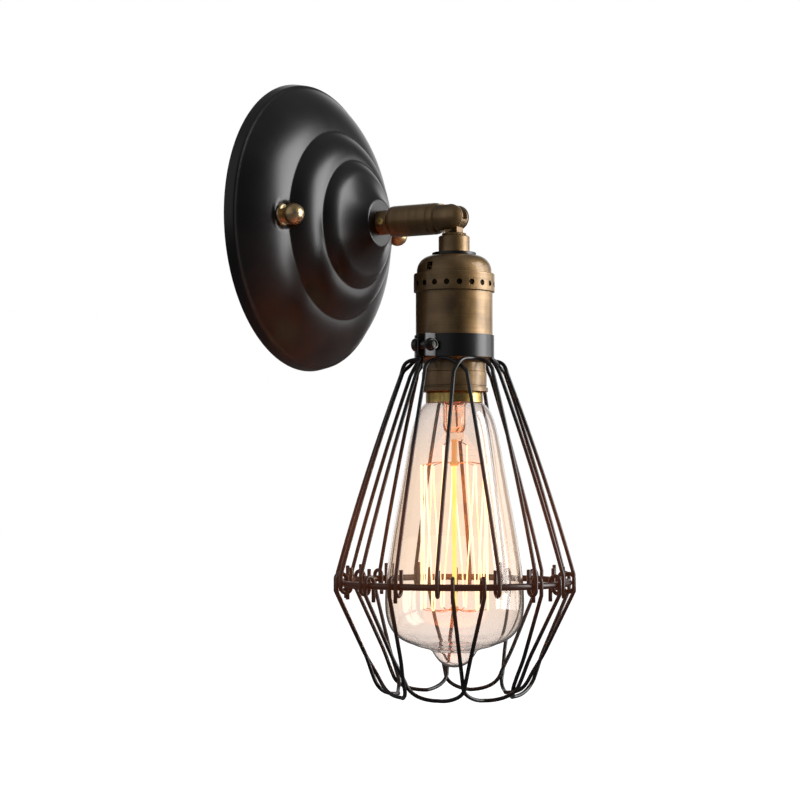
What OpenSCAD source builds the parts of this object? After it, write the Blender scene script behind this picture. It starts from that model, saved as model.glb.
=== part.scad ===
// Cage wall light: rippled round canopy, short turned arm with a slotted
// knuckle, brass lamp socket, filament bulb and a hooked wire cage.
// The wall is the plane Y = 0, the light stands out along -Y and +Z is up.
// The origin is the centre of the wall bracket, on the wall.

/* [Canopy] */
// Outside diameter of the canopy at the wall
canopy_d = 138.5; // [115:0.5:170]
// Depth of the canopy from the wall to its flat front
canopy_depth = 42; // [35:0.5:60]
// Thickness of the spun sheet
canopy_wall = 1; // [0.8:0.1:1.5]
// Height of the upright band round the rim
rim_h = 4.6; // [3:0.1:6]
// How far the rim band leans in from the wall to its top
rim_draft = 1.2; // [0.2:0.1:2]
// Width of the step between the rim band and the outer bulge
rim_step = 1.1; // [0.5:0.1:3]
// Diameter of the groove between the outer and the middle ripple
outer_valley_d = 89.6; // [80:0.1:95]
// Depth of that groove from the wall
outer_valley_depth = 19.5; // [16:0.1:22]
// Diameter of the groove between the middle and the inner ripple
inner_valley_d = 60.8; // [50:0.1:66]
// Depth of that groove from the wall
inner_valley_depth = 28.6; // [26:0.1:31]
// Rise of the outer ripple above the straight line between its edges
outer_ripple = 2.2; // [1:0.1:3]
// Rise of the middle ripple
middle_ripple = 1.9; // [0.5:0.1:3]
// Rise of the small bulge inside the inner groove
inner_ripple = 0.5; // [0.2:0.1:1]
// Diameter at which the small bulge turns into the flare
flare_d = 49; // [46:0.1:50]
// Depth of the canopy there, from the wall
flare_depth = 33.6; // [32:0.1:34]
// Hollow of the flare between there and the flat front
flare_dip = 0.7; // [0.2:0.1:1.2]
// Diameter of the flat front that carries the arm
boss_d = 22.3; // [18:0.1:28]

/* [Wall bracket] */
// Length of the bracket across the wall box
bracket_l = 108; // [104:1:112]
// Width of the bracket
bracket_w = 20; // [18:0.5:26]
// Thickness of the bracket
bracket_t = 2; // [1.5:0.1:3]
// Distance between the two canopy studs
stud_spacing = 94.8; // [90:0.1:97]
// Diameter of the canopy studs
stud_d = 4; // [3:0.5:5]
// Distance between the centres of the two wall screw slots
wall_slot_spacing = 60; // [50:1:62]
// End to end length of a wall screw slot
wall_slot_l = 14; // [8:0.5:18]
// Width of a wall screw slot
wall_slot_w = 5; // [4:0.5:6]
// Diameter of the ball cap nuts
ball_nut_d = 10; // [8:0.5:12]

/* [Arm] */
// Outside diameter of the threaded tube through the canopy
nipple_d = 10; // [9:0.1:10.5]
// Bore of the threaded tube, for the leads
nipple_bore = 7; // [5:0.1:7.5]
// Diameter of the stub
stub_d = 11.6; // [11:0.1:12.5]
// Length of the stub that shows between the canopy and the sleeve
stub_l = 6.1; // [5:0.1:9]
// Diameter of the set screw in the stub
set_screw_d = 3; // [2:0.5:3.5]
// Outside diameter of the sleeve
sleeve_d = 14.8; // [14:0.1:18]
// Length of the sleeve
sleeve_l = 25.9; // [21:0.1:60]
// Length of the bevel at the sleeve's ends
sleeve_bevel = 2.2; // [0.5:0.1:3]

/* [Knuckle] */
// Diameter of the round bar that the knuckle is cut from
knuckle_d = 13.6; // [13:0.1:14.6]
// Distance from the end of the sleeve to the pivot
knuckle_reach = 7.5; // [7:0.1:12]
// Radius of the turned ball end about the pivot
ear_r = 6.9; // [6.8:0.1:7.2]
// Width of the slot between the ears
slot_w = 7.4; // [6.4:0.1:7.6]
// Thickness of the tongue in the slot
tongue_t = 6; // [5:0.1:6]
// Radius of the tongue's eye about the pivot
eye_r = 5.7; // [5:0.1:6]
// Diameter of the pivot screw
pivot_d = 4; // [3:0.5:4.5]
// Distance from the pivot down to the flange
tongue_drop = 7.6; // [7.4:0.1:10]
// Diameter of the flange under the tongue
flange_d = 11.3; // [10:0.1:12]
// Thickness of the flange
flange_h = 1.3; // [1:0.1:2]

/* [Socket] */
// Diameter of the coupling
coupling_d = 14.4; // [13:0.1:16]
// Height of the coupling
coupling_h = 7.7; // [6:0.1:12]
// Diameter of the thin black disc on the cap
disc_d = 20.4; // [18:0.1:24]
// Thickness of the disc
disc_h = 1.4; // [1:0.1:2]
// Diameter of the domed cap at its base
cap_d = 34.6; // [33:0.1:35]
// Height of the domed cap
cap_h = 7.9; // [7.6:0.1:10]
// Radius of the cap's rounded shoulder
cap_shoulder_r = 7.3; // [5:0.1:7.4]
// Diameter of the perforated mouth of the shell
mouth_d = 37.5; // [37:0.1:39]
// Height of the perforated mouth
mouth_h = 8.7; // [7:0.1:12]
// Number of holes round the mouth
mouth_holes = 20; // [12:1:24]
// Diameter of those holes
mouth_hole_d = 2.6; // [1.5:0.1:3]
// Outside diameter of the shell's barrel
barrel_d = 35.6; // [35:0.1:36]
// Length of the barrel below the mouth
barrel_l = 31.5; // [30:0.5:45]
// Outside diameter of the lower neck
neck_d = 29.2; // [29:0.1:30]
// Length of the lower neck, below the barrel, with its bead and lip
neck_l = 14.3; // [13:0.1:20]
// Thickness of the brass sheet
shell_wall = 0.5; // [0.4:0.1:0.6]

/* [Bulb] */
// Widest diameter of the glass
bulb_d = 64; // [50:0.5:77]
// Length of the glass below the brass cap
bulb_l = 121.8; // [100:0.5:126]
// Outside diameter of the screw cap
bulb_cap_d = 26.4; // [26:0.1:26.6]
// Length of the screw cap that shows below the socket
bulb_cap_show = 5; // [2:0.1:8]
// Thickness of the glass
glass_wall = 0.8; // [0.5:0.1:1.5]
// Number of up and down runs of the filament
filament_runs = 18; // [8:2:24]
// Radius of the circle that the filament hangs on
filament_r = 15.5; // [8:0.1:16]

/* [Cage] */
// Distance from the shell's mouth down to the clamp band
clamp_drop = 19.8; // [17:0.1:20]
// Height of the clamp band
clamp_h = 10.4; // [8:0.1:11]
// Thickness of the clamp band
clamp_t = 0.65; // [0.5:0.05:1.2]
// Width of the gap between the clamp's ears
clamp_gap = 6; // [3:0.1:8]
// Reach of the ears past the band
clamp_ear_l = 5.6; // [5.4:0.1:9]
// Diameter of the clamp screw
clamp_screw_d = 4; // [3:0.5:4]
// Turn of the clamp about the head's axis, from +X
cage_turn = 170; // [150:1:190]
// Diameter of the cage wire
wire_d = 1.8; // [1.5:0.1:2.2]
// Diameter of the ring's wire
ring_wire_d = 3; // [2:0.1:4]
// Diameter of the ring, through the middle of its wire
ring_d = 105; // [96:0.5:130]
// Height of the upper cage, from the clamp band to the ring
upper_h = 103.3; // [86:0.1:124]
// Height of the lower cage, from the ring to the bottom of the loops
lower_h = 51.7; // [46:0.1:62]
// Diameter of the mouth between the bottoms of the loops
cage_mouth_d = 54; // [46:0.5:60]
// Slack between a hook's bend and the ring
hook_slack = 1.6; // [0.5:0.1:2.5]
// Length of the hooks' ends past the middle of the ring
hook_end = 7.4; // [5:0.1:10]

/* [Hidden] */
$fn = 64;

// Clearances: parts that turn, parts that slide together, and parts that only must not touch
running = 0.05;
fitted = 0.02;
loose = 0.3;
// Overlap that lets one cut run clear through another face
through = 1;

// Places along the arm, measured out from the wall
stub_end = canopy_depth + stub_l;
sleeve_end = stub_end + sleeve_l;
pivot_out = sleeve_end + knuckle_reach;

// Heights down the head, measured from the pivot
flange_z = -tongue_drop;
coupling_z = flange_z - flange_h;
disc_z = coupling_z - coupling_h;
cap_z = disc_z - disc_h;
mouth_step = 0.7;
mouth_z = cap_z - cap_h - mouth_step;
barrel_z = mouth_z - mouth_h;
clamp_z = barrel_z - clamp_drop;
clamp_bottom_z = clamp_z - clamp_h;
neck_z = barrel_z - barrel_l;
lip_z = neck_z - neck_l;
glass_z = lip_z - bulb_cap_show;
bulb_tip_z = glass_z - bulb_l;
ring_z = clamp_bottom_z - upper_h;
loop_z = ring_z - lower_h;

function lerp(a, b, t) = a + (b - a) * t;
function unit(v) = v / norm(v);
// A point at a distance and a height, turned about Z
function polar(r, a, z) = [r * cos(a), r * sin(a), z];
// A cubic curve through p[0] and p[3], steps + 1 points
function curve(p, steps) = [for (i = [0:steps])
    let (t = i / steps, s = 1 - t)
    s * s * s * p[0] + 3 * s * s * t * p[1] + 3 * s * t * t * p[2] + t * t * t * p[3]];
// An arc from a to b that rises by sag to the right of the line between them
function arc(a, b, sag, steps) =
    let (chord = norm(b - a), r = (chord * chord / 4 + sag * sag) / (2 * sag),
         side = [b.y - a.y, a.x - b.x] / chord, middle = (a + b) / 2 + side * (sag - r),
         half = asin(chord / 2 / r), start = atan2(side.y, side.x) - half)
    [for (i = [0:steps]) let (t = start + 2 * half * i / steps) middle + r * [cos(t), sin(t)]];

// Places children on the arm's line: their +Z points out from the wall
module along_arm(out) {
    translate([0, -out, 0]) rotate([90, 0, 0]) children();
}

// Places children on the head's axis, in the head's heights
module on_head() {
    translate([0, -pivot_out, 0]) children();
}

// A hollow round between two heights, measured down from the top
module tube(outer_d, inner_d, top, bottom) {
    translate([0, 0, bottom]) difference() {
        cylinder(d = outer_d, h = top - bottom);
        translate([0, 0, -through]) cylinder(d = inner_d, h = top - bottom + 2 * through);
    }
}

// A hexagonal nut with its bore, standing on z = 0
module hex_nut(across_flats, bore, h) {
    difference() {
        cylinder(d = across_flats / cos(30), h = h, $fn = 6);
        translate([0, 0, -through]) cylinder(d = bore, h = h + 2 * through);
    }
}

// A slotted screw whose head stands on z = 0 and whose shank points down
module slotted_screw(shank_d, shank_l, head_d, head_h) {
    slot = head_d / 6;
    difference() {
        union() {
            translate([0, 0, -shank_l]) cylinder(d = shank_d, h = shank_l);
            cylinder(d = head_d, h = head_h);
        }
        translate([-head_d, -slot / 2, head_h / 2]) cube([2 * head_d, slot, head_h]);
    }
}

// ---------------------------------------------------------------- wall bracket and canopy

ground_screw_x = 14;
ground_screw_d = 4;
lead_hole_d = 12;
lock_nut_af = 7;
lock_nut_h = 3.2;
// The ball nut stands in a flat seat pressed into the outer groove
nut_foot_out = outer_valley_depth - 2.3;
nut_foot_h = 2;
nut_groove = 0.7;
nut_bore_depth = 6;
seat_r = ball_nut_d / 2 + loose;

module mounting_bracket() {
    color("silver") rotate([90, 0, 0]) difference() {
        linear_extrude(bracket_t) difference() {
            hull() for (side = [-1, 1])
                translate([side * (bracket_l - bracket_w) / 2, 0]) circle(d = bracket_w);
            for (side = [-1, 1]) translate([side * wall_slot_spacing / 2, 0])
                wall_slot();
        }
        for (side = [-1, 1]) translate([side * stud_spacing / 2, 0, -through])
            cylinder(d = stud_d + 2 * fitted, h = bracket_t + 2 * through);
        translate([0, 0, -through]) cylinder(d = lead_hole_d, h = bracket_t + 2 * through);
        translate([ground_screw_x, 0, -through])
            cylinder(d = ground_screw_d + 2 * fitted, h = bracket_t + 2 * through);
    }
}

// The outline of one wall screw slot
module wall_slot() {
    straight = wall_slot_l - wall_slot_w;
    square([straight, wall_slot_w], center = true);
    for (side = [-1, 1]) translate([side * straight / 2, 0]) circle(d = wall_slot_w);
}

module ground_screw() {
    color("green") translate([ground_screw_x, 0, 0]) along_arm(bracket_t)
        slotted_screw(ground_screw_d, bracket_t, 8, 2.4);
}

module canopy_studs() {
    color("silver") at_nuts(0) cylinder(d = stud_d, h = nut_foot_out + nut_bore_depth - loose);
}

module stud_lock_nuts() {
    color("silver") at_nuts(bracket_t) hex_nut(lock_nut_af, stud_d + 2 * fitted, lock_nut_h);
}

// The canopy's outer line from its rim to its flat front, set back by one thickness
function canopy_line(inset) =
    let (rim = [canopy_d / 2 - rim_draft - inset, rim_h - inset * 0.3],
         step = [canopy_d / 2 - rim_draft - rim_step - inset * 0.8, rim_h + rim_step * 0.9 - inset * 0.8],
         outer = [outer_valley_d / 2 - inset * 0.7, outer_valley_depth - inset * 0.7],
         inner = [inner_valley_d / 2 - inset * 0.6, inner_valley_depth - inset * 0.8],
         flare = [flare_d / 2 - inset * 0.6, flare_depth - inset * 0.85],
         front = [boss_d / 2, canopy_depth - inset], dip = arc(front, flare, flare_dip, 6))
    concat(
        [rim],
        arc(step, outer, outer_ripple, 12),
        [for (p = arc(outer, inner, middle_ripple, 8)) if (p != outer) p],
        [for (p = arc(inner, flare, inner_ripple, 5)) if (p != inner) p],
        [for (i = [5:-1:0]) dip[i]]
    );

module canopy() {
    outside = canopy_line(0);
    inside = canopy_line(canopy_wall);
    hole_r = nipple_d / 2 + running;
    count = len(inside);
    color("#1b1b1b") difference() {
        union() {
            along_arm(0) rotate_extrude($fn = 128) polygon(concat(
                [[canopy_d / 2 - canopy_wall, 0], [canopy_d / 2, 0]],
                outside,
                [[hole_r, canopy_depth], [hole_r, canopy_depth - canopy_wall]],
                [for (i = [count - 1:-1:0]) inside[i]]
            ));
            intersection() {
                along_arm(0) rotate_extrude($fn = 128) polygon(concat([[0, 0], [canopy_d / 2, 0]], outside,
                    [[0, canopy_depth]]));
                at_nuts(nut_foot_out - canopy_wall) cylinder(r = seat_r + canopy_wall, h = canopy_depth);
            }
        }
        at_nuts(nut_foot_out) cylinder(r = seat_r, h = canopy_depth);
        at_nuts(rim_h) cylinder(d = stud_d + 2 * loose, h = canopy_depth);
    }
}

// Places children at both studs, a given way out from the wall
module at_nuts(out) {
    for (side = [-1, 1]) translate([side * stud_spacing / 2, 0, 0]) along_arm(out) children();
}

module ball_cap_nuts() {
    ball_z = nut_foot_h + ball_nut_d / 2 - nut_groove;
    color("goldenrod") at_nuts(nut_foot_out) difference() {
        union() {
            cylinder(d = ball_nut_d, h = nut_foot_h - nut_groove);
            cylinder(d = ball_nut_d * 0.8, h = nut_foot_h);
            translate([0, 0, ball_z]) sphere(d = ball_nut_d);
        }
        translate([0, 0, -ball_nut_d]) cylinder(d = 2 * ball_nut_d, h = ball_nut_d);
        translate([0, 0, -through]) cylinder(d = stud_d + 2 * fitted, h = nut_bore_depth + through);
    }
}

// ---------------------------------------------------------------- arm

washer_h = 0.8;
washer_d = 17;
nipple_nut_af = 14;
nipple_nut_h = 3;
nipple_tail = 2;
nipple_in_stub = 12;
stub_in_sleeve = 16;
knuckle_in_sleeve = 8;
arm_bore_d = 6;
canopy_inside = canopy_depth - canopy_wall;

module nipple() {
    start = canopy_inside - washer_h - nipple_nut_h - nipple_tail;
    color("silver") along_arm(start)
        tube(nipple_d, nipple_bore, canopy_depth + nipple_in_stub - start, 0);
}

module lock_washer() {
    color("silver") along_arm(canopy_inside - washer_h)
        tube(washer_d, nipple_d + 2 * fitted, washer_h, 0);
}

module nipple_nut() {
    color("silver") along_arm(canopy_inside - washer_h - nipple_nut_h)
        hex_nut(nipple_nut_af, nipple_d + 2 * fitted, nipple_nut_h);
}

module arm_stub() {
    stub_total = stub_l + stub_in_sleeve;
    color("#5a482d") difference() {
        along_arm(canopy_depth + running) difference() {
            cylinder(d = stub_d, h = stub_total - running);
            translate([0, 0, -through]) cylinder(d = nipple_d + 2 * running, h = nipple_in_stub + running + through);
            cylinder(d = arm_bore_d, h = stub_total + through);
        }
        at_set_screw() translate([0, 0, -stub_d / 2]) cylinder(d = set_screw_d + 2 * fitted, h = stub_d);
    }
}

// Children stand on the stub's skin, +Z pointing out of it
module at_set_screw() {
    translate([-stub_d / 2, -canopy_depth - stub_l / 2, 0]) rotate([0, -90, 0]) children();
}

module stub_set_screw() {
    dimple_d = set_screw_d / 2;
    wall = (stub_d - nipple_d) / 2 - running;
    color("dimgray") at_set_screw() translate([0, 0, -wall]) difference() {
        cylinder(d = set_screw_d, h = wall);
        translate([0, 0, wall / 2]) cylinder(d = dimple_d, h = wall);
    }
}

module arm_sleeve() {
    face_r = sleeve_d / 2 - 0.8;
    mid_r = sleeve_d / 2 - 0.2;
    bore_r = stub_d / 2 + fitted;
    color("#5a482d") along_arm(stub_end) rotate_extrude() polygon([
        [bore_r, 0], [face_r, 0], [mid_r, sleeve_bevel * 0.4], [sleeve_d / 2, sleeve_bevel],
        [sleeve_d / 2, sleeve_l - sleeve_bevel], [mid_r, sleeve_l - sleeve_bevel * 0.4],
        [face_r, sleeve_l], [bore_r, sleeve_l]
    ]);
}

// ---------------------------------------------------------------- knuckle

pivot_head_d = 6.6;
pivot_head_h = 1.6;
// The head of the pivot screw is sunk in the ear on the +X side
ear_out = knuckle_d / 2;
pivot_head_seat = slot_w / 2 + 1;
pivot_blind_x = -slot_w / 2 - 2;
friction_t = (slot_w - tongue_t) / 2;

module knuckle_clevis() {
    color("#5a482d") difference() {
        union() {
            along_arm(sleeve_end - knuckle_in_sleeve) cylinder(d = stub_d, h = knuckle_in_sleeve + fitted);
            along_arm(sleeve_end) cylinder(d = knuckle_d, h = knuckle_reach);
            along_arm(pivot_out) sphere(r = ear_r, $fn = 96);
        }
        translate([-slot_w / 2, -pivot_out - 2 * ear_r, -2 * ear_r])
            cube([slot_w, 2 * ear_r + eye_r + loose, 4 * ear_r]);
        along_arm(sleeve_end - knuckle_in_sleeve - through) cylinder(d = arm_bore_d, h = knuckle_in_sleeve + knuckle_reach);
        translate([pivot_blind_x, -pivot_out, 0]) rotate([0, 90, 0])
            cylinder(d = pivot_d + 2 * fitted, h = ear_out - pivot_blind_x + through);
        translate([pivot_head_seat, -pivot_out, 0]) rotate([0, 90, 0])
            cylinder(d = pivot_head_d + 2 * fitted, h = ear_out);
    }
}

module pivot_screw() {
    color("dimgray") translate([pivot_head_seat, -pivot_out, 0]) rotate([0, 90, 0])
        slotted_screw(pivot_d, pivot_head_seat - pivot_blind_x - loose, pivot_head_d, pivot_head_h);
}

module friction_washers() {
    color("silver") translate([0, -pivot_out, 0]) for (side = [-1, 1])
        translate([side * (slot_w + tongue_t) / 4, 0, 0]) rotate([0, 90, 0])
            translate([0, 0, -friction_t / 2]) tube(2 * eye_r - 1, pivot_d + 2 * running, friction_t, 0);
}

// ---------------------------------------------------------------- head: tongue and coupling

neck_y = 6.2;
spigot_d = 9.8;
spigot_bore = 5;
lead_slot_w = 3.4;
lead_slot_depth = 2;
lead_slot_end_z = -1.2;
cap_wall = 0.6;
cap_nut_h = 3;
cap_nut_af = 14;
spigot_z = cap_z - cap_wall - cap_nut_h - 1;

module knuckle_tongue() {
    color("#8a744c") on_head() difference() {
        union() {
            rotate([0, 90, 0]) translate([0, 0, -tongue_t / 2]) cylinder(r = eye_r, h = tongue_t);
            translate([-tongue_t / 2, -neck_y / 2, flange_z]) cube([tongue_t, neck_y, -flange_z]);
            translate([0, 0, flange_z - flange_h]) cylinder(d = flange_d, h = flange_h);
            translate([0, 0, spigot_z]) cylinder(d = spigot_d, h = flange_z - flange_h - spigot_z + fitted);
        }
        rotate([0, 90, 0]) translate([0, 0, -tongue_t]) cylinder(d = pivot_d + 2 * running, h = 2 * tongue_t);
        translate([0, 0, spigot_z - through]) cylinder(d = spigot_bore, h = flange_z - spigot_z + through);
        lead_slot();
        translate([0, 0, flange_z - flange_h]) rotate([atan2(eye_r - 1.6, -flange_z + flange_h - 1), 0, 0])
            cylinder(d = lead_slot_w - 0.6, h = norm([eye_r, flange_z]) - 1);
    }
}

// The groove over the top of the eye that the leads run in
module lead_slot() {
    intersection() {
        translate([-lead_slot_w / 2, 0, 0]) rotate([0, 90, 0]) difference() {
            cylinder(r = eye_r + through, h = lead_slot_w);
            translate([0, 0, -through]) cylinder(r = eye_r - lead_slot_depth, h = lead_slot_w + 2 * through);
        }
        translate([-eye_r, -2 * eye_r, lead_slot_end_z]) cube([2 * eye_r, 4 * eye_r, 2 * eye_r]);
    }
}

module coupling() {
    edge = 0.4;
    bore_r = spigot_d / 2 + fitted;
    color("#8a744c") on_head() difference() {
        translate([0, 0, disc_z]) rotate_extrude() polygon([
            [bore_r, 0], [coupling_d / 2 - edge, 0], [coupling_d / 2, edge],
            [coupling_d / 2, coupling_h - edge], [coupling_d / 2 - edge, coupling_h], [bore_r, coupling_h]
        ]);
        at_coupling_screw() translate([0, 0, -through]) cylinder(d = set_screw_d + 2 * fitted, h = coupling_d);
    }
}

// Children stand on the spigot's skin at the back of the coupling, +Z pointing out
module at_coupling_screw() {
    translate([0, spigot_d / 2 + fitted, disc_z + coupling_h / 2]) rotate([-90, 0, 0]) children();
}

module coupling_screw() {
    wall = (coupling_d - spigot_d) / 2;
    color("dimgray") on_head() at_coupling_screw() difference() {
        cylinder(d = set_screw_d, h = wall - fitted);
        translate([0, 0, wall / 2]) cylinder(d = set_screw_d / 2, h = wall);
    }
}

// ---------------------------------------------------------------- socket

skirt_l = 7;
skirt_step = 1;
skirt_r = mouth_d / 2 - shell_wall - fitted;
cap_slot_w = 3;
cap_slot_h = 3.9;
cap_slot_rise = 0.1;
cap_slot_turn = -3;

module socket_disc() {
    color("#141414") on_head() translate([0, 0, cap_z])
        tube(disc_d, spigot_d + 2 * fitted, disc_h, 0);
}

module socket_cap() {
    r = cap_d / 2;
    s = cap_shoulder_r;
    base_z = cap_z - cap_h;
    color("#6b5636") on_head() difference() {
        rotate_extrude($fn = 96) difference() {
            union() {
                cap_outline(r, s, base_z - skirt_l);
                translate([0, base_z - skirt_l]) square([skirt_r, skirt_l - skirt_step]);
            }
            offset_outline(r, s, base_z - skirt_step);
            translate([0, base_z - skirt_l - through]) square([skirt_r - cap_wall, skirt_l + through - skirt_step - cap_wall]);
            translate([0, base_z - skirt_l - through]) square([r - cap_wall, skirt_l]);
            translate([0, base_z]) square([spigot_d / 2 + fitted, cap_h + through]);
        }
        for (half = [0, 180]) rotate([0, 0, cage_turn + cap_slot_turn + half])
            translate([cap_d / 4, -cap_slot_w / 2, base_z + cap_slot_rise]) cube([cap_d, cap_slot_w, cap_slot_h]);
    }
}

// The half section of the domed cap: a square with one round shoulder, down to a given height
module cap_outline(r, shoulder, bottom) {
    translate([0, bottom]) square([r, cap_z - shoulder - bottom]);
    square_top = r - shoulder;
    translate([0, cap_z - shoulder]) square([square_top, shoulder]);
    intersection() {
        translate([square_top, cap_z - shoulder]) circle(r = shoulder, $fn = 96);
        translate([square_top, cap_z - shoulder]) square(shoulder);
    }
}

// The same section, one sheet thickness smaller
module offset_outline(r, shoulder, bottom) {
    translate([0, -cap_wall]) cap_outline(r - cap_wall, shoulder - cap_wall, bottom + cap_wall);
}

module cap_nut() {
    color("silver") on_head() translate([0, 0, cap_z - cap_wall - cap_nut_h])
        hex_nut(cap_nut_af, spigot_d + 2 * fitted, cap_nut_h);
}

insulator_top_z = cap_z - cap_h - 2;
insulator_d = barrel_d - 2 * shell_wall - 2 * fitted;
insulator_h = 27;
recess_h = 3;
terminal_r = 11.6;
screw_shell_in_d = 26.9;
screw_shell_wall = 0.4;
screw_shell_d = screw_shell_in_d + 2 * screw_shell_wall;
liner_in_d = screw_shell_d + 2 * fitted;
contact_gap = 0.2;
// The bulb's cap: solder tip, black ring, then the threaded shell
cap_tip_h = 1.8;
cap_ring_h = 2.5;
bulb_cap_l = 24.5;
bulb_cap_top_z = glass_z + bulb_cap_l;
bulb_tip_contact_z = bulb_cap_top_z + cap_ring_h + cap_tip_h;
insulator_bottom_z = insulator_top_z - insulator_h;
screw_shell_top_z = insulator_bottom_z + recess_h - fitted;

// The brass shell: perforated mouth, barrel and beaded neck, one sheet
function shell_line(inset) = [
    [mouth_d / 2 - inset, mouth_z - 0.5],
    [mouth_d / 2 - inset, barrel_z + 0.4 + inset * 0.6],
    [barrel_d / 2 - inset, barrel_z + inset * 0.6],
    [barrel_d / 2 - inset, neck_z + 1.2 + inset * 0.8],
    [barrel_d / 2 - 1.2 - inset * 0.6, neck_z + inset],
    [neck_d / 2 + 0.4 - inset * 0.6, neck_z - 0.6 + inset],
    [neck_d / 2 - inset, neck_z - 1.2 + inset * 0.4],
    [neck_d / 2 - inset, neck_z - bead_top],
    [neck_d / 2 + bead_rise - inset, neck_z - bead_top - 0.3],
    [neck_d / 2 + bead_rise - inset, neck_z - bead_bottom],
    [neck_d / 2 + bead_rise / 2 - inset, neck_z - bead_bottom - 0.3],
    [neck_d / 2 + bead_rise / 2 - inset, lip_z + lip_h + 0.3],
    [neck_d / 2 + lip_rise - inset, lip_z + lip_h],
    [neck_d / 2 + lip_rise - inset, lip_z]
];
bead_top = 5;
bead_rise = 0.4;
lip_h = 1.8;
lip_rise = 1;
bead_bottom = neck_l - lip_h - 1;

module socket_shell() {
    inside = shell_line(shell_wall);
    hole_z = mouth_z - mouth_h * 0.58;
    color("#7a6238") on_head() difference() {
        rotate_extrude($fn = 96) polygon(concat(
            [[mouth_d / 2 - shell_wall, mouth_z], [mouth_d / 2 - shell_wall * 0.4, mouth_z]],
            shell_line(0),
            [for (i = [len(inside) - 1:-1:0]) inside[i]]
        ));
        for (i = [0:mouth_holes - 1]) translate([0, 0, hole_z]) rotate([0, 90, 360 * i / mouth_holes])
            translate([0, 0, barrel_d / 2 - through]) cylinder(d = mouth_hole_d, h = 4, $fn = 32);
    }
}

module insulating_liner() {
    color("#3a3026") on_head()
        tube(liner_in_d + 0.4, liner_in_d, insulator_bottom_z - fitted, lip_z + 2.4);
}

module screw_shell() {
    color("goldenrod") on_head()
        tube(screw_shell_d, screw_shell_in_d, screw_shell_top_z, lip_z + 2);
}

module socket_insulator() {
    color("ivory") on_head() difference() {
        translate([0, 0, insulator_bottom_z]) cylinder(d = insulator_d, h = insulator_h);
        translate([0, 0, insulator_bottom_z - through])
            cylinder(d = screw_shell_d + 2 * fitted, h = recess_h + through);
        for (side = [-1, 1]) translate([side * terminal_r, 0, insulator_top_z - 5])
            cylinder(d = 3.5 + 2 * fitted, h = 5 + through);
        translate([0, 0, insulator_bottom_z]) cylinder(d = 3 + 2 * fitted, h = insulator_h + through);
    }
}

module terminal_screws() {
    color("goldenrod") on_head() for (side = [-1, 1])
        translate([side * terminal_r, 0, insulator_top_z]) slotted_screw(3.5, 4.5, 6, 2);
}

module centre_contact() {
    roof_z = insulator_bottom_z + recess_h;
    tip_z = bulb_tip_contact_z + contact_gap;
    color("goldenrod") on_head() {
        translate([0, 0, roof_z - 0.5 - fitted]) cylinder(d = 8, h = 0.5);
        translate([0, 0, tip_z]) cylinder(d = 4, h = roof_z - 0.5 - fitted - tip_z);
        translate([0, 0, roof_z - 0.5 - fitted]) cylinder(d = 3, h = insulator_h - recess_h);
    }
}

// ---------------------------------------------------------------- bulb

function bulb_line(inset) =
    let (r = bulb_d / 2 - inset, neck = bulb_cap_d / 2 - 0.4 - inset,
         top = glass_z + 2, l = bulb_l, tip = bulb_tip_z + inset,
         waist = [r * 0.756, glass_z - l * 0.3], wide = [r, glass_z - l * 0.755],
         up = inset * 0.8, shoulder = [r * 0.61, glass_z - l * 0.912 + up],
         nib = [r * 0.322, glass_z - l * 0.94 + up / 2])
    concat(
        [[neck, top], [neck, glass_z]],
        [for (p = curve([[neck, glass_z], [r * 0.61, glass_z - l * 0.028],
            [r * 0.65, glass_z - l * 0.155], waist], 10)) if (p.y < glass_z) p],
        [for (p = curve([waist, [r * 0.86, glass_z - l * 0.452], [r, glass_z - l * 0.616], wide], 10))
            if (p.y < waist.y) p],
        [for (p = curve([wide, [r, glass_z - l * 0.845], [r * 0.875, glass_z - l * 0.891 + up], shoulder], 8))
            if (p.y < wide.y) p],
        [for (p = curve([shoulder, [r * 0.47, glass_z - l * 0.93 + up], [r * 0.36, glass_z - l * 0.927 + up], nib], 6))
            if (p.y < shoulder.y) p],
        [for (p = curve([nib, [nib.x * 0.82, lerp(nib.y, tip, 0.4)], [nib.x * 0.6, tip], [0, tip]], 7))
            if (p.y < nib.y) p]
    );

module bulb_glass() {
    inside = bulb_line(glass_wall);
    color("#fff2e0", 0.35) on_head() rotate_extrude() polygon(concat(
        bulb_line(0),
        [for (i = [len(inside) - 1:-1:0]) inside[i]]
    ));
}

thread_turns = 6;
thread_depth = 0.5;
bulb_cap_wall = 0.3;

// Rolled ridges stand for the thread: the helix is a matter of finish
module bulb_cap() {
    pitch = (bulb_cap_l - bulb_cap_show - 2) / thread_turns;
    ridge = [for (i = [0:thread_turns - 1]) let (z = bulb_cap_top_z - 1 - i * pitch) each [
        [bulb_cap_d / 2 - thread_depth, z], [bulb_cap_d / 2, z - pitch * 0.35],
        [bulb_cap_d / 2, z - pitch * 0.5], [bulb_cap_d / 2 - thread_depth, z - pitch * 0.85]
    ]];
    bore = bulb_cap_d / 2 - thread_depth - bulb_cap_wall;
    color("#c8aa50") on_head() rotate_extrude() polygon(concat(
        [[5 + fitted, bulb_cap_top_z + 0.6], [bore - 0.6, bulb_cap_top_z + 0.6]],
        ridge,
        [[bulb_cap_d / 2, glass_z + bulb_cap_show - 1], [bulb_cap_d / 2, glass_z + fitted],
         [bulb_cap_d / 2 - 0.38, glass_z + fitted], [bulb_cap_d / 2 - 0.38, glass_z + 2 + fitted],
         [bore, glass_z + 3], [bore, bulb_cap_top_z], [5 + fitted, bulb_cap_top_z]]
    ));
}

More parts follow.
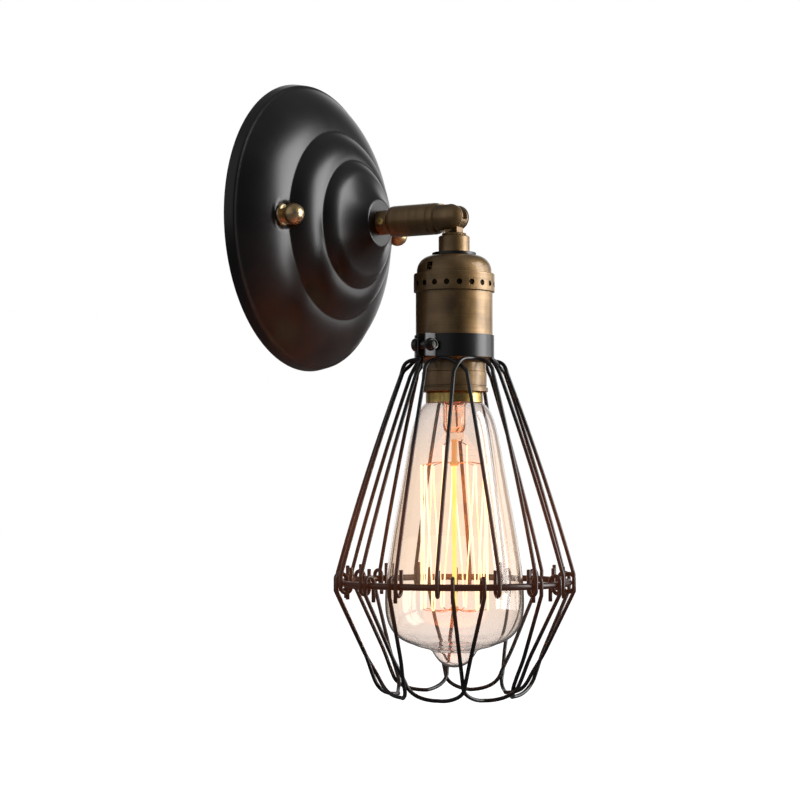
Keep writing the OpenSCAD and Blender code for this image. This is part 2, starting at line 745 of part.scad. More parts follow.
module bulb_cap_insulator() {
    color("#202020") on_head() difference() {
        translate([0, 0, bulb_cap_top_z]) cylinder(d = 10, h = 0.6);
        translate([0, 0, bulb_cap_top_z - through]) cylinder(d = 4 + 2 * fitted, h = 4);
    }
    color("#202020") on_head() difference() {
        translate([0, 0, bulb_cap_top_z + 0.6]) cylinder(d1 = 20, d2 = 11, h = cap_ring_h - 0.6);
        translate([0, 0, bulb_cap_top_z]) cylinder(d = 4 + 2 * fitted, h = 4);
    }
}

module bulb_contact() {
    color("silver") on_head() {
        translate([0, 0, bulb_cap_top_z - 1]) cylinder(d = 4, h = cap_ring_h + 1);
        translate([0, 0, bulb_cap_top_z + cap_ring_h]) cylinder(d1 = 9, d2 = 5, h = cap_tip_h);
    }
}

stem_d = 10.6;
stem_drop = 14;
press_w = 8.5;
press_t = 3;
rod_d = 2.6;
crown_drop = 28;
filament_l = 66;
lead_rise = 9;
mount_turn = 210;
support_d = 0.5;
filament_d = 0.35;
supports = filament_runs / 2;
crown_z = glass_z - crown_drop;
filament_top_z = crown_z - 1;
filament_low_z = filament_top_z - filament_l;
filament_end = filament_runs - 2;
rod_end_z = filament_low_z - 2;

// Glass tube that carries the mount: flared stem, flat press and rod with a button
module bulb_stem() {
    flare_r = bulb_cap_d / 2 - 0.4 - glass_wall - fitted;
    color("#fff2e0", 0.6) on_head() {
        translate([0, 0, glass_z - stem_drop]) cylinder(d = stem_d, h = stem_drop);
        translate([0, 0, glass_z]) cylinder(r1 = stem_d / 2, r2 = flare_r, h = 2);
        rotate([0, 0, mount_turn + 90]) translate([-press_w / 2, -press_t / 2, glass_z - stem_drop - 4])
            cube([press_w, press_t, 5]);
        translate([0, 0, rod_end_z]) cylinder(d = rod_d, h = glass_z - stem_drop - 3 - rod_end_z);
        translate([0, 0, crown_z - 1]) cylinder(d = rod_d + 1.6, h = 2);
        translate([0, 0, filament_low_z - 1]) cylinder(d = rod_d + 1.2, h = 2);
    }
}

// Angle of the filament's bend i: both ends and the top hooks on even places, bottom hooks on odd ones
function run_angle(i) = mount_turn + 360 * (i + 1) / filament_runs;

// Thin wires from the rod out to the bends of the filament
module filament_supports() {
    up = filament_top_z - crown_z;
    hub = rod_d / 2 + 0.8;
    color("silver") on_head() for (i = [1:filament_end - 1]) rotate([0, 0, run_angle(i)]) {
        out = filament_r - filament_d / 2 - support_d / 2 - fitted;
        if (i % 2 == 0) translate([hub, 0, crown_z])
            rotate([0, atan2(out - hub, up), 0]) cylinder(d = support_d, h = norm([out - hub, up]), $fn = 16);
        if (i % 2 == 1) translate([hub - 0.2, 0, filament_low_z])
            rotate([0, 90, 0]) cylinder(d = support_d, h = out - hub + 0.2, $fn = 16);
    }
}

// ---------------------------------------------------------------- swept wire

// Unit directions along a line of points
function directions(p) = [for (i = [0:len(p) - 1])
    unit(p[min(i + 1, len(p) - 1)] - p[max(i - 1, 0)])];
// A sideways direction at each point, carried along without twist
function sideways(t) = [for (i = 0, n = unit(cross(t[0], [0.31, 0.83, 0.47])); i < len(t);
    i = i + 1, n = i < len(t) ? unit(n - (n * t[i]) * t[i]) : n) n];

// One solid wire of a given radius along a line of points
module wire(p, r, sides) {
    t = directions(p);
    n = sideways(t);
    rings = len(p);
    points = [for (i = [0:rings - 1]) for (k = [0:sides - 1])
        let (a = 360 * k / sides) p[i] + r * (cos(a) * n[i] + sin(a) * cross(t[i], n[i]))];
    walls = [for (i = [0:rings - 2]) for (k = [0:sides - 1])
        let (a = i * sides + k, b = i * sides + (k + 1) % sides, c = a + sides, d = b + sides)
        each [[a, c, b], [b, c, d]]];
    start = [for (k = [1:sides - 2]) [0, k, k + 1]];
    last = (rings - 1) * sides;
    end = [for (k = [1:sides - 2]) [last, last + k + 1, last + k]];
    polyhedron(points = points, faces = concat(walls, start, end));
}

// Height of the filament's bend i; its two ends stand higher, at the leads
function run_z(i) = i == 0 || i == filament_end ? filament_top_z + lead_rise
    : i % 2 == 0 ? filament_top_z : filament_low_z;

// The filament: one zigzag wire round the mount, open between its first and last run
module filament() {
    step = 0.9;
    color("orange") on_head() wire([for (i = [0:filament_end]) each let (
        z = run_z(i), a = run_angle(i), turn = i % 2 == 0 ? -0.6 : 0.6)
        [polar(filament_r, a - step, z + turn), polar(filament_r, a, z), polar(filament_r, a + step, z + turn)]],
        filament_d / 2, 5);
}

// The two leads from the press to the filament's ends
module bulb_leads() {
    press_z = glass_z - stem_drop - 4;
    color("silver") on_head() for (end = [0, filament_end]) {
        side = end == 0 ? 1 : -1;
        root = polar(side * press_w * 0.4, mount_turn + 90, press_z);
        knee = root - [0, 0, 1];
        tip = polar(filament_r - filament_d - 0.1, run_angle(end), run_z(end));
        wire([root, knee, lerp(knee, tip, 0.5) + [0, 0, 0.5], tip], 0.2, 5);
    }
}

// ---------------------------------------------------------------- cage

collar_in_r = barrel_d / 2 + fitted;
collar_r = collar_in_r + clamp_t;
ear_t = 0.9;
ear_root = 0.6;
clamp_mid_z = clamp_z - clamp_h / 2;
clamp_screw_r = collar_r + clamp_ear_l * 0.5;
clamp_head_d = 6;
clamp_head_h = 2.6;
clamp_screw_out = 3.4;
wire_r = wire_d / 2;
ring_r = ring_d / 2;
hook_r = ring_wire_d / 2 + wire_r + fitted;
leg_r = ring_r + hook_r;
cage_sides = 8;

// Angles of a cage pair, measured from the pair's own middle, and of the lower loops
pair_count = 4;
pair_top = 23;
shoulder_lean = 16;
shoulder_half = 23.1;
ring_lean = 9.9;
ring_half = 24.4;
loop_pitch = 45;
loop_top_half = 29.8;
loop_low_half = 23;
// Where the arches leave the clamp and where their legs start to run straight
arch_top_r = collar_r - clamp_t / 2;
arch_top_z = clamp_bottom_z - wire_r - fitted;
shoulder_r = collar_r + 6.2;
shoulder_z = clamp_bottom_z - 7.9;
leg_bow = 1.1;
leg_end_z = ring_z + 4;
// Where the loops' legs start to bend in to the mouth
loop_knee_r = cage_mouth_d / 2 + 8.8;
loop_knee_z = loop_z + 7.5;
loop_start_z = ring_z - 4;
// Crossing wires pass side by side, one outside and one inside
pass_by = wire_r * 1.2;
crossing_z = loop_knee_z - 1;
crossing_reach = 14;
// The way square to the loops' legs, out of the cage
loop_side = unit([loop_start_z - loop_knee_z, loop_knee_r - leg_r]);

module cage_collar() {
    outer = collar_r + clamp_ear_l;
    color("#181818") on_head() rotate([0, 0, cage_turn]) difference() {
        union() {
            difference() {
                translate([0, 0, clamp_bottom_z]) cylinder(r = collar_r, h = clamp_h);
                translate([0, -clamp_gap / 2, clamp_bottom_z - through])
                    cube([2 * collar_r, clamp_gap, clamp_h + 2 * through]);
            }
            for (side = [-1, 1]) translate([collar_r - clamp_t - ear_root,
                side * (clamp_gap + ear_t) / 2 - ear_t / 2, clamp_bottom_z])
                    cube([clamp_ear_l + clamp_t + ear_root, ear_t, clamp_h]);
        }
        translate([0, 0, clamp_bottom_z - through]) cylinder(r = collar_in_r, h = clamp_h + 2 * through);
        translate([clamp_screw_r, outer, clamp_mid_z]) rotate([90, 0, 0])
            cylinder(d = clamp_screw_d + 2 * fitted, h = 2 * outer);
    }
}

module clamp_screw() {
    grip = clamp_gap + 2 * ear_t;
    color("dimgray") on_head() rotate([0, 0, cage_turn])
        translate([clamp_screw_r, -grip / 2, clamp_mid_z]) rotate([90, 0, 0])
            slotted_screw(clamp_screw_d, grip + clamp_screw_out, clamp_head_d, clamp_head_h);
}

module cage_ring() {
    color("#181818") on_head() translate([0, 0, ring_z]) rotate_extrude($fn = 128)
        translate([ring_r, 0]) circle(d = ring_wire_d, $fn = 48);
}

// Radius of the shoulder line between the clamp and the legs, t from 0 to 1, with its height
function shoulder(t) =
    let (knee = [shoulder_r - 1.8, shoulder_z + 5], top = [arch_top_r, arch_top_z], low = [shoulder_r, shoulder_z])
    (1 - t) * (1 - t) * top + 2 * t * (1 - t) * knee + t * t * low;

// The way square to that line, out of the cage
function shoulder_side(t) =
    let (d = shoulder(min(t + 0.05, 1)) - shoulder(max(t - 0.05, 0)), n = norm(d)) [-d.y / n, d.x / n];

// One half of an arch from the clamp down to the hook, side -1 or 1, out = which way it passes its twin
function arch_half(side, out) =
    let (inner = side < 0 ? 1 : 0,
         low_a = shoulder_lean + side * shoulder_half, ring_a = ring_lean + side * ring_half,
         from = polar(shoulder_r, low_a, shoulder_z), to = polar(leg_r, ring_a, leg_end_z))
    concat(
        [for (i = [1:8]) let (t = i / 8, u = 1 - cos(90 * t),
            a = lerp(pair_top, shoulder_lean, u) + side * shoulder_half * sin(90 * t),
            aside = pass_by * pow(sin(180 * pow(t, 1.4)), 2),
            s = shoulder(u) + inner * out * aside * shoulder_side(u))
            polar(s.x, a, s.y)],
        [for (i = [1:6]) let (t = i / 6, p = lerp(from, to, t), bow = 4 * leg_bow * t * (1 - t))
            p + bow * unit([p.x, p.y, 0])],
        hook(ring_a, -1)
    );

// The end of a leg: round the ring and back up, or down, inside it
function hook(a, way) =
    let (middle_z = ring_z + way * hook_slack)
    concat(
        [for (i = [0:6]) let (t = 30 * i)
            polar(ring_r + hook_r * cos(t), a, middle_z + way * hook_r * sin(t))],
        [polar(ring_r - hook_r, a, ring_z - way * hook_end)]
    );

// A whole arch, right = 1 for the pair's right arch and -1 for its mirror image
module arch(right) {
    left_half = arch_half(-1, right);
    right_half = arch_half(1, right);
    top = [polar(arch_top_r, pair_top, arch_top_z)];
    path = concat([for (i = [len(left_half) - 1:-1:0]) left_half[i]], top, right_half);
    wire([for (p = path) [p.x, right * p.y, p.z]], wire_r, cage_sides);
}

module cage_arches() {
    color("#181818") on_head() for (i = [0:pair_count - 1]) rotate([0, 0, cage_turn + 45 + 360 * i / pair_count])
        for (right = [-1, 1]) arch(right);
}

// One half of a lower loop from its hook down to the bottom of the mouth
function loop_half(side) =
    let (from = polar(leg_r, side * loop_top_half, loop_start_z),
         to = polar(loop_knee_r, side * loop_low_half, loop_knee_z),
         bend = [[loop_knee_r, loop_knee_z], [loop_knee_r - 2.6, loop_knee_z - 5.4],
                 [cage_mouth_d / 2 + 3, loop_z], [cage_mouth_d / 2, loop_z]],
         low = curve(bend, 6), top = hook(side * loop_top_half, 1), count = len(top))
    concat(
        [for (i = [count - 1:-1:0]) top[i]],
        [for (i = [0:7]) let (p = lerp(from, to, i / 7), away = side * pass(p.z) * loop_side)
            p + away.x * unit([p.x, p.y, 0]) + [0, 0, away.y]],
        [for (i = [1:6]) let (t = i / 6, p = low[i] + side * pass(low[i].y) * cos(90 * t) * loop_side)
            polar(p.x, side * loop_low_half * cos(90 * t), p.y)]
    );

// How far a loop's leg stands out, or in, where it crosses its neighbour
function pass(z) = abs(z - crossing_z) > crossing_reach ? 0
    : pass_by * pow(cos(90 * (z - crossing_z) / crossing_reach), 2);

module cage_loops() {
    right_half = loop_half(1);
    left_half = loop_half(-1);
    count = len(right_half);
    path = concat(left_half, [for (i = [count - 2:-1:0]) right_half[i]]);
    color("#181818") on_head() for (i = [0:360 / loop_pitch - 1])
        rotate([0, 0, cage_turn + 45 + loop_pitch * (i + 0.5)]) wire(path, wire_r, cage_sides);
}

mounting_bracket();
ground_screw();
canopy_studs();
stud_lock_nuts();
canopy();
ball_cap_nuts();
nipple();
nipple_nut();
lock_washer();
arm_stub();
stub_set_screw();
arm_sleeve();
knuckle_clevis();
pivot_screw();
friction_washers();
knuckle_tongue();
coupling();
coupling_screw();
socket_disc();
socket_cap();
cap_nut();
socket_insulator();
terminal_screws();
centre_contact();
screw_shell();
insulating_liner();
socket_shell();
cage_collar();
clamp_screw();
cage_arches();
cage_ring();
cage_loops();
bulb_cap();
bulb_cap_insulator();
bulb_contact();
bulb_glass();
bulb_stem();
filament_supports();
filament();
bulb_leads();
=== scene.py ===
import logging
import math
from dataclasses import dataclass
from enum import Enum
from typing import ClassVar

import bmesh
import bpy
from mathutils import Matrix, Vector


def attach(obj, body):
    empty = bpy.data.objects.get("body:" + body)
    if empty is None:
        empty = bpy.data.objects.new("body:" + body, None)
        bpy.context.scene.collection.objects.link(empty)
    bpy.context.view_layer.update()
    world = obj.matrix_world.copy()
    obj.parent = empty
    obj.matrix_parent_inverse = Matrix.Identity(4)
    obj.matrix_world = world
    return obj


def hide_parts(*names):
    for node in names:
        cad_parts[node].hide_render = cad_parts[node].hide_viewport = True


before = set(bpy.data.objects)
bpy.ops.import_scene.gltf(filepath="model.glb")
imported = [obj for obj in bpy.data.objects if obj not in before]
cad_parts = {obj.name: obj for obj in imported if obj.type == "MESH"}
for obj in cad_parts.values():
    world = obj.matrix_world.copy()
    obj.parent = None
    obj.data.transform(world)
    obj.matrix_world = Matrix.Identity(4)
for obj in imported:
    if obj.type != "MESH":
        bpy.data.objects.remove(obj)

"""Looks of a wall light: satin black canopy, turned brass arm and socket, filament bulb and wire cage.

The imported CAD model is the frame. Each sub-assembly below is a class that holds its sizes in
millimetres, builds the pieces that need finer form than the frame has, and dresses the others.
"""

Tree, Out, Object, Material = bpy.types.NodeTree, bpy.types.NodeSocket, bpy.types.Object, bpy.types.Material
BMesh = bmesh.types.BMesh
Colour = tuple[float, float, float, float]
Triple = tuple[float, float, float]
Pair = tuple[float, float]

MM = 0.001
# Points nearer than the first are one in a mesh made here, and nearer than the second in a CAD node's mesh.
MERGE_M = 1e-7
WELD_M = 2e-6
# A section's points nearer to its turning axis than this stay on it.
ON_AXIS_M = 1e-6
# Faces of a CAD node that meet flatter than the first are one, and edges sharper than the second are rounded.
FLAT = math.radians(0.8)
CORNER = math.radians(28.0)
# How far the arm's line lies from the wall where the head hangs on it, in millimetres.
PIVOT_OUT = 81.5
# Nearly all of a noise's values lie between these two.
MIDDLE_NOISE = (0.3, 0.7)
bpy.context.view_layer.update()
log = logging.getLogger("wall_light")


class Body(Enum):
    """The three bodies that the pieces ride on."""

    WALL = "wall_plate"
    ARM = "arm"
    HEAD = "head"


class Axis(Enum):
    """The line that a turned piece was turned about, as its unit direction."""

    ARM = (0.0, 1.0, 0.0)
    HEAD = (0.0, 0.0, 1.0)


# ---------------------------------------------------------------- colour and nodes


def lerp(a: float, b: float, t: float) -> float:
    """Returns the value a share t of the way from a to b."""
    return a + (b - a) * t


def eased(t: float) -> float:
    """Returns a share that leaves 0 and reaches 1 gently."""
    return t * t * (3 - 2 * t)


def srgb(code: str) -> Colour:
    """Turns a hex colour into the linear colour that a shader takes.

    Args:
        code: The colour as "#rrggbb".

    Returns:
        Red, green and blue in linear light, and an alpha of 1.
    """
    parts = [int(code[i:i + 2], 16) / 255 for i in (1, 3, 5)]
    linear = [c / 12.92 if c <= 0.04045 else ((c + 0.055) / 1.055) ** 2.4 for c in parts]
    return (linear[0], linear[1], linear[2], 1.0)


def add_node(tree: Tree, kind: str, settings: dict | None = None,
             values: dict | None = None, links: dict | None = None) -> bpy.types.Node:
    """Adds one node with its settings, fixed inputs and links.

    Args:
        tree: The node tree that it goes into.
        kind: The node's type, such as "ShaderNodeBump".
        settings: Properties to set on the node.
        values: Input name or number to its fixed value.
        links: Input name or number to the output socket that feeds it.

    Returns:
        The new node.
    """
    node = tree.nodes.new(kind)
    for name, value in (settings or {}).items():
        setattr(node, name, value)
    for name, value in (values or {}).items():
        node.inputs[name].default_value = value
    for name, source in (links or {}).items():
        tree.links.new(source, node.inputs[name])
    return node


def blank_material(name: str) -> Material:
    """Returns a new node material with nothing in its tree."""
    material = bpy.data.materials.new(name)
    material.use_nodes = True
    material.node_tree.nodes.clear()
    return material


def principled(tree: Tree, values: dict, links: dict) -> Out:
    """Adds a Principled shader from its fixed inputs and its links, and returns its shader socket."""
    return add_node(tree, "ShaderNodeBsdfPrincipled", values=values, links=links).outputs["BSDF"]


def stretched_noise(tree: Tree, scale: Triple, detail: float,
                    distortion: float = 0.0) -> Out:
    """Adds a noise texture on Object coordinates, stretched along each axis.

    Args:
        tree: The node tree.
        scale: Cells to the metre along X, Y and Z.
        detail: Octaves of finer noise.
        distortion: How far the noise is bent by itself.

    Returns:
        The noise's value.
    """
    place = add_node(tree, "ShaderNodeTexCoord")
    mapping = add_node(tree, "ShaderNodeMapping", values={"Scale": scale}, links={"Vector": place.outputs["Object"]})
    noise = add_node(tree, "ShaderNodeTexNoise", values={"Scale": 1.0, "Detail": detail, "Distortion": distortion},
                     links={"Vector": mapping.outputs["Vector"]})
    return noise.outputs["Fac"]


def even_noise(tree: Tree, cells: float, detail: float, distortion: float = 0.0) -> Out:
    """Adds noise of the same scale, in cells to the metre, along all three axes."""
    return stretched_noise(tree, (cells, cells, cells), detail, distortion)


def per_metre(size_mm: float) -> float:
    """Returns how many cells of a size in millimetres make a metre."""
    return 1 / (size_mm * MM)


def height_share(tree: Tree, start_mm: float, end_mm: float) -> Out:
    """Adds the share of the way from one height on the object to another, in millimetres."""
    place = add_node(tree, "ShaderNodeTexCoord")
    parts = add_node(tree, "ShaderNodeSeparateXYZ", links={"Vector": place.outputs["Object"]})
    return spread(tree, parts.outputs["Z"], 0.0, 1.0, start_mm * MM, end_mm * MM)


def spread(tree: Tree, source: Out, low: float, high: float,
           start: float = 0.0, end: float = 1.0) -> Out:
    """Adds a node that maps start to end onto low to high, and returns its value."""
    node = add_node(tree, "ShaderNodeMapRange",
                    values={"From Min": start, "From Max": end, "To Min": low, "To Max": high},
                    links={"Value": source})
    return node.outputs["Result"]


def bump(tree: Tree, source: Out, strength: float,
         depth_mm: float) -> Out:
    """Adds a bump of a depth in millimetres and returns its normal."""
    node = add_node(tree, "ShaderNodeBump", values={"Strength": strength, "Distance": depth_mm * MM},
                    links={"Height": source})
    return node.outputs["Normal"]


def multiply(tree: Tree, share: float, one: Out,
             other: Out) -> Out:
    """Adds a node that darkens one colour by a share of another, and returns the colour."""
    node = add_node(tree, "ShaderNodeMix", {"data_type": "RGBA", "blend_type": "MULTIPLY"}, {0: share},
                    {6: one, 7: other})
    return node.outputs[2]


def maths(tree: Tree, operation: str, one: Out,
          other: Out | float) -> Out:
    """Adds a sum of two terms, the second a socket or a fixed value, and returns its value."""
    fixed = isinstance(other, float)
    node = add_node(tree, "ShaderNodeMath", {"operation": operation}, {1: other} if fixed else {},
                    {0: one} if fixed else {0: one, 1: other})
    return node.outputs["Value"]


def ramp(tree: Tree, source: Out,
         stops: list[tuple[float, Colour]]) -> Out:
    """Adds a colour ramp.

    Args:
        tree: The node tree.
        source: What drives the ramp.
        stops: Position and linear colour of each stop, in order.

    Returns:
        The ramp's colour.
    """
    node = add_node(tree, "ShaderNodeValToRGB", links={"Fac": source})
    elements = node.color_ramp.elements
    while len(elements) < len(stops):
        elements.new(0.5)
    for element, (position, colour) in zip(elements, stops):
        element.position = position
        element.color = colour
    return node.outputs["Color"]


def grey(level: float) -> Colour:
    """Returns a linear grey with an alpha of 1."""
    return (level, level, level, 1.0)


# ---------------------------------------------------------------- finishes


@dataclass(frozen=True)
class Look:
    """A material together with the record's slot for pieces that wear it."""

    material: Material
    slot: str


@dataclass(frozen=True)
class Finish:
    """What every finish has: a name, the record's slot and a surface built from nodes."""

    name: str
    slot: str

    def title(self) -> str:
        """Returns the material's name."""
        return self.name

    def surface(self, tree: Tree) -> Out:
        """Builds the nodes of this finish in an empty tree and returns their shader."""
        raise NotImplementedError

    def look(self) -> Look:
        """Builds the material.

        Returns:
            The material with its slot.
        """
        material = blank_material(self.title())
        tree = material.node_tree
        add_node(tree, "ShaderNodeOutputMaterial", links={"Surface": self.surface(tree)})
        return Look(material, self.slot)


@dataclass(frozen=True)
class PowderCoat(Finish):
    """Satin black polyester powder coat on steel: deep, slightly soft gloss with a faint orange peel, and a painted
    glow band by height.
    """

    name: str = "powder_coated_steel"
    slot: str = "black_satin_paint"
    base: str = "#0c0c0d"
    worn: str = "#151414"
    roughness: Pair = (0.27, 0.36)
    cloud_cells: float = 60.0
    peel_mm: float = 0.9
    peel_strength: float = 0.35
    peel_depth_mm: float = 0.010
    ior: float = 1.52
    coat: float = 0.1
    coat_roughness: float = 0.22
    painted_glow: str = "#000000"
    painted_glow_mm: Triple = (-96.0, -140.0, -196.0)

    def surface(self, tree: Tree) -> Out:
        """Builds the finish: a mottled dark base, with gloss and peel from two sizes of noise, and a painted glow by
        height.
        """
        peel = even_noise(tree, per_metre(self.peel_mm), 2.0)
        cloud = even_noise(tree, self.cloud_cells, 3.0)
        # Painted glow: an emission that peaks at the bulb's middle height stands for the lit bulb's light on the wires.
        high, middle, low = self.painted_glow_mm
        painted_glow_colour = ramp(tree, height_share(tree, high, low),
                      [(0.0, grey(0.0)), ((middle - high) / (low - high), srgb(self.painted_glow)), (1.0, grey(0.0))])
        return principled(tree, {"Metallic": 0.0, "IOR": self.ior, "Coat Weight": self.coat,
                                 "Coat Roughness": self.coat_roughness, "Emission Strength": 1.0},
                          {"Base Color": ramp(tree, cloud, [(0.35, srgb(self.base)), (0.7, srgb(self.worn))]),
                           "Roughness": spread(tree, cloud, *self.roughness), "Emission Color": painted_glow_colour,
                           "Normal": bump(tree, peel, self.peel_strength, self.peel_depth_mm)})


@dataclass(frozen=True)
class TurnedBrass(Finish):
    """Antique brass, turned on a lathe and darkened: fine lines round the piece under a brown patina."""

    name: str = "antique_turned_brass"
    slot: str = "antique_brass"
    axis: Axis = Axis.HEAD
    bright: str = "#a5855d"
    mid: str = "#8f7249"
    dark: str = "#694f33"
    roughness: Pair = (0.46, 0.58)
    lacquer: float = 0.8
    lacquer_roughness: float = 0.24
    line_mm: float = 0.22
    line_cells_round: float = 25.0
    line_strength: float = 0.5
    line_depth_mm: float = 0.010
    streak_cells: Pair = (12.0, 260.0)
    patina_mm: float = 14.0

    def title(self) -> str:
        """Returns the material's name, which also tells the axis."""
        return f"{self.name}_{self.axis.name.lower()}"

    def surface(self, tree: Tree) -> Out:
        """Builds the finish: patina clouds, streaks and lines that run round the turning axis."""
        along = self.axis.value
        across, more = self.streak_cells
        fine = tuple(lerp(self.line_cells_round, per_metre(self.line_mm), a) for a in along)
        wide = tuple(across + a * more for a in along)
        lines = stretched_noise(tree, fine, 3.0)
        streaks = stretched_noise(tree, wide, 4.0, 0.2)
        cloud = even_noise(tree, per_metre(self.patina_mm), 5.0, 0.4)
        patina = ramp(tree, cloud, [(0.26, srgb(self.dark)), (0.48, srgb(self.mid)), (0.68, srgb(self.bright))])
        lined = multiply(tree, 0.6, patina, ramp(tree, lines, [(0.35, grey(0.78)), (0.62, grey(1.0))]))
        streaked = multiply(tree, 0.8, lined, ramp(tree, streaks, [(0.36, grey(0.82)), (0.60, grey(1.0))]))
        return principled(tree, {"Metallic": 1.0, "Coat Weight": self.lacquer,
                                 "Coat Roughness": self.lacquer_roughness},
                          {"Base Color": streaked,
                           "Roughness": spread(tree, streaks, *self.roughness[::-1], *MIDDLE_NOISE),
                           "Normal": bump(tree, lines, self.line_strength, self.line_depth_mm)})


@dataclass(frozen=True)
class PlainMetal(Finish):
    """A plain metal with a light wear pattern: polished brass, plated steel or blackened steel."""

    bright: str
    dull: str
    roughness: Pair
    cloud_cells: float = 180.0
    grain_mm: float = 0.8
    grain_strength: float = 0.3
    grain_depth_mm: float = 0.004

    def surface(self, tree: Tree) -> Out:
        """Builds the finish: a two-tone metal whose gloss follows the same clouds."""
        grain = even_noise(tree, per_metre(self.grain_mm), 2.0)
        cloud = even_noise(tree, self.cloud_cells, 4.0, 0.5)
        return principled(tree, {"Metallic": 1.0},
                          {"Base Color": ramp(tree, cloud, [(0.35, srgb(self.dull)), (0.6, srgb(self.bright))]),
                           "Roughness": spread(tree, cloud, *self.roughness[::-1], *MIDDLE_NOISE),
                           "Normal": bump(tree, grain, self.grain_strength, self.grain_depth_mm)})


@dataclass(frozen=True)
class Dielectric(Finish):
    """A plain non-metal: glazed porcelain, pressed fibre, vitrite or paint on a small screw."""

    light: str
    shade: str
    roughness: Pair
    grain_mm: float
    grain_strength: float = 0.3
    grain_depth_mm: float = 0.01
    ior: float = 1.5

    def surface(self, tree: Tree) -> Out:
        """Builds the finish: two shades of one colour over a fine grain."""
        grain = even_noise(tree, per_metre(self.grain_mm), 4.0)
        return principled(tree, {"IOR": self.ior},
                          {"Base Color": ramp(tree, grain, [(0.35, srgb(self.shade)), (0.65, srgb(self.light))]),
                           "Roughness": spread(tree, grain, *self.roughness),
                           "Normal": bump(tree, grain, self.grain_strength, self.grain_depth_mm)})


@dataclass(frozen=True)
class LampGlass(Finish):
    """Blown soda-lime glass, thin and clear: a painted warm tint and painted glow near the filament, for its light, and
    slow waves from blowing.
    """

    name: str = "blown_clear_glass"
    slot: str = "clear_glass"
    clear: str = "#f1e9e4"
    warm: str = "#fdefe2"
    painted_veil: str = "#ffcfa0"
    ior: float = 1.45
    roughness: Pair = (0.0, 0.03)
    glow: float = 0.02
    wave_mm: float = 22.0
    wave_strength: float = 0.25
    wave_depth_mm: float = 0.05
    top_mm: float = -84.0
    bottom_mm: float = -212.0

    def surface(self, tree: Tree) -> Out:
        """Builds the finish: a transmissive shader with a painted warm tint and glow by height, that lets the
        filament's light out.
        """
        wave = even_noise(tree, per_metre(self.wave_mm), 1.0)
        height = height_share(tree, self.top_mm, self.bottom_mm)
        clear, warm, painted_veil = srgb(self.clear), srgb(self.warm), srgb(self.painted_veil)
        # Painted light: warmer colour and a faint glow at the filament's height stand for the filament's light in the
        # glass.
        painted_light_tint = ramp(tree, height, [(0.05, clear), (0.28, warm), (0.62, warm), (0.9, clear)])
        lit = ramp(tree, height, [(0.0, grey(0.35)), (0.25, painted_veil), (0.62, painted_veil), (0.85, grey(0.45))])
        shader = principled(tree, {"IOR": self.ior, "Transmission Weight": 1.0, "Emission Strength": self.glow},
                            {"Base Color": painted_light_tint, "Emission Color": lit,
                             "Roughness": spread(tree, wave, *self.roughness),
                             "Normal": bump(tree, wave, self.wave_strength, self.wave_depth_mm)})
        through = add_node(tree, "ShaderNodeBsdfTransparent", links={"Color": painted_light_tint})
        path = add_node(tree, "ShaderNodeLightPath")
        both = add_node(tree, "ShaderNodeMixShader",
                        links={"Fac": path.outputs["Is Shadow Ray"], 1: shader, 2: through.outputs["BSDF"]})
        return both.outputs["Shader"]


@dataclass(frozen=True)
class Glowing(Finish):
    """A hot part of the lit bulb, or a back-lit one whose light is a painted glow; its own light runs between two
    colours.
    """

    hot: str
    cool: str
    strength: float
    patch: Triple = (90.0, 90.0, 40.0)
    unlit: float = 0.02
    roughness: float = 0.5

    def surface(self, tree: Tree) -> Out:
        """Builds the finish: an emission whose colour drifts between hot and cool."""
        patches = stretched_noise(tree, self.patch, 2.0)
        return principled(tree, {"Base Color": grey(self.unlit), "Roughness": self.roughness,
                                 "Emission Strength": self.strength},
                          {"Emission Color": ramp(tree, patches, [(0.38, srgb(self.cool)), (0.56, srgb(self.hot))])})


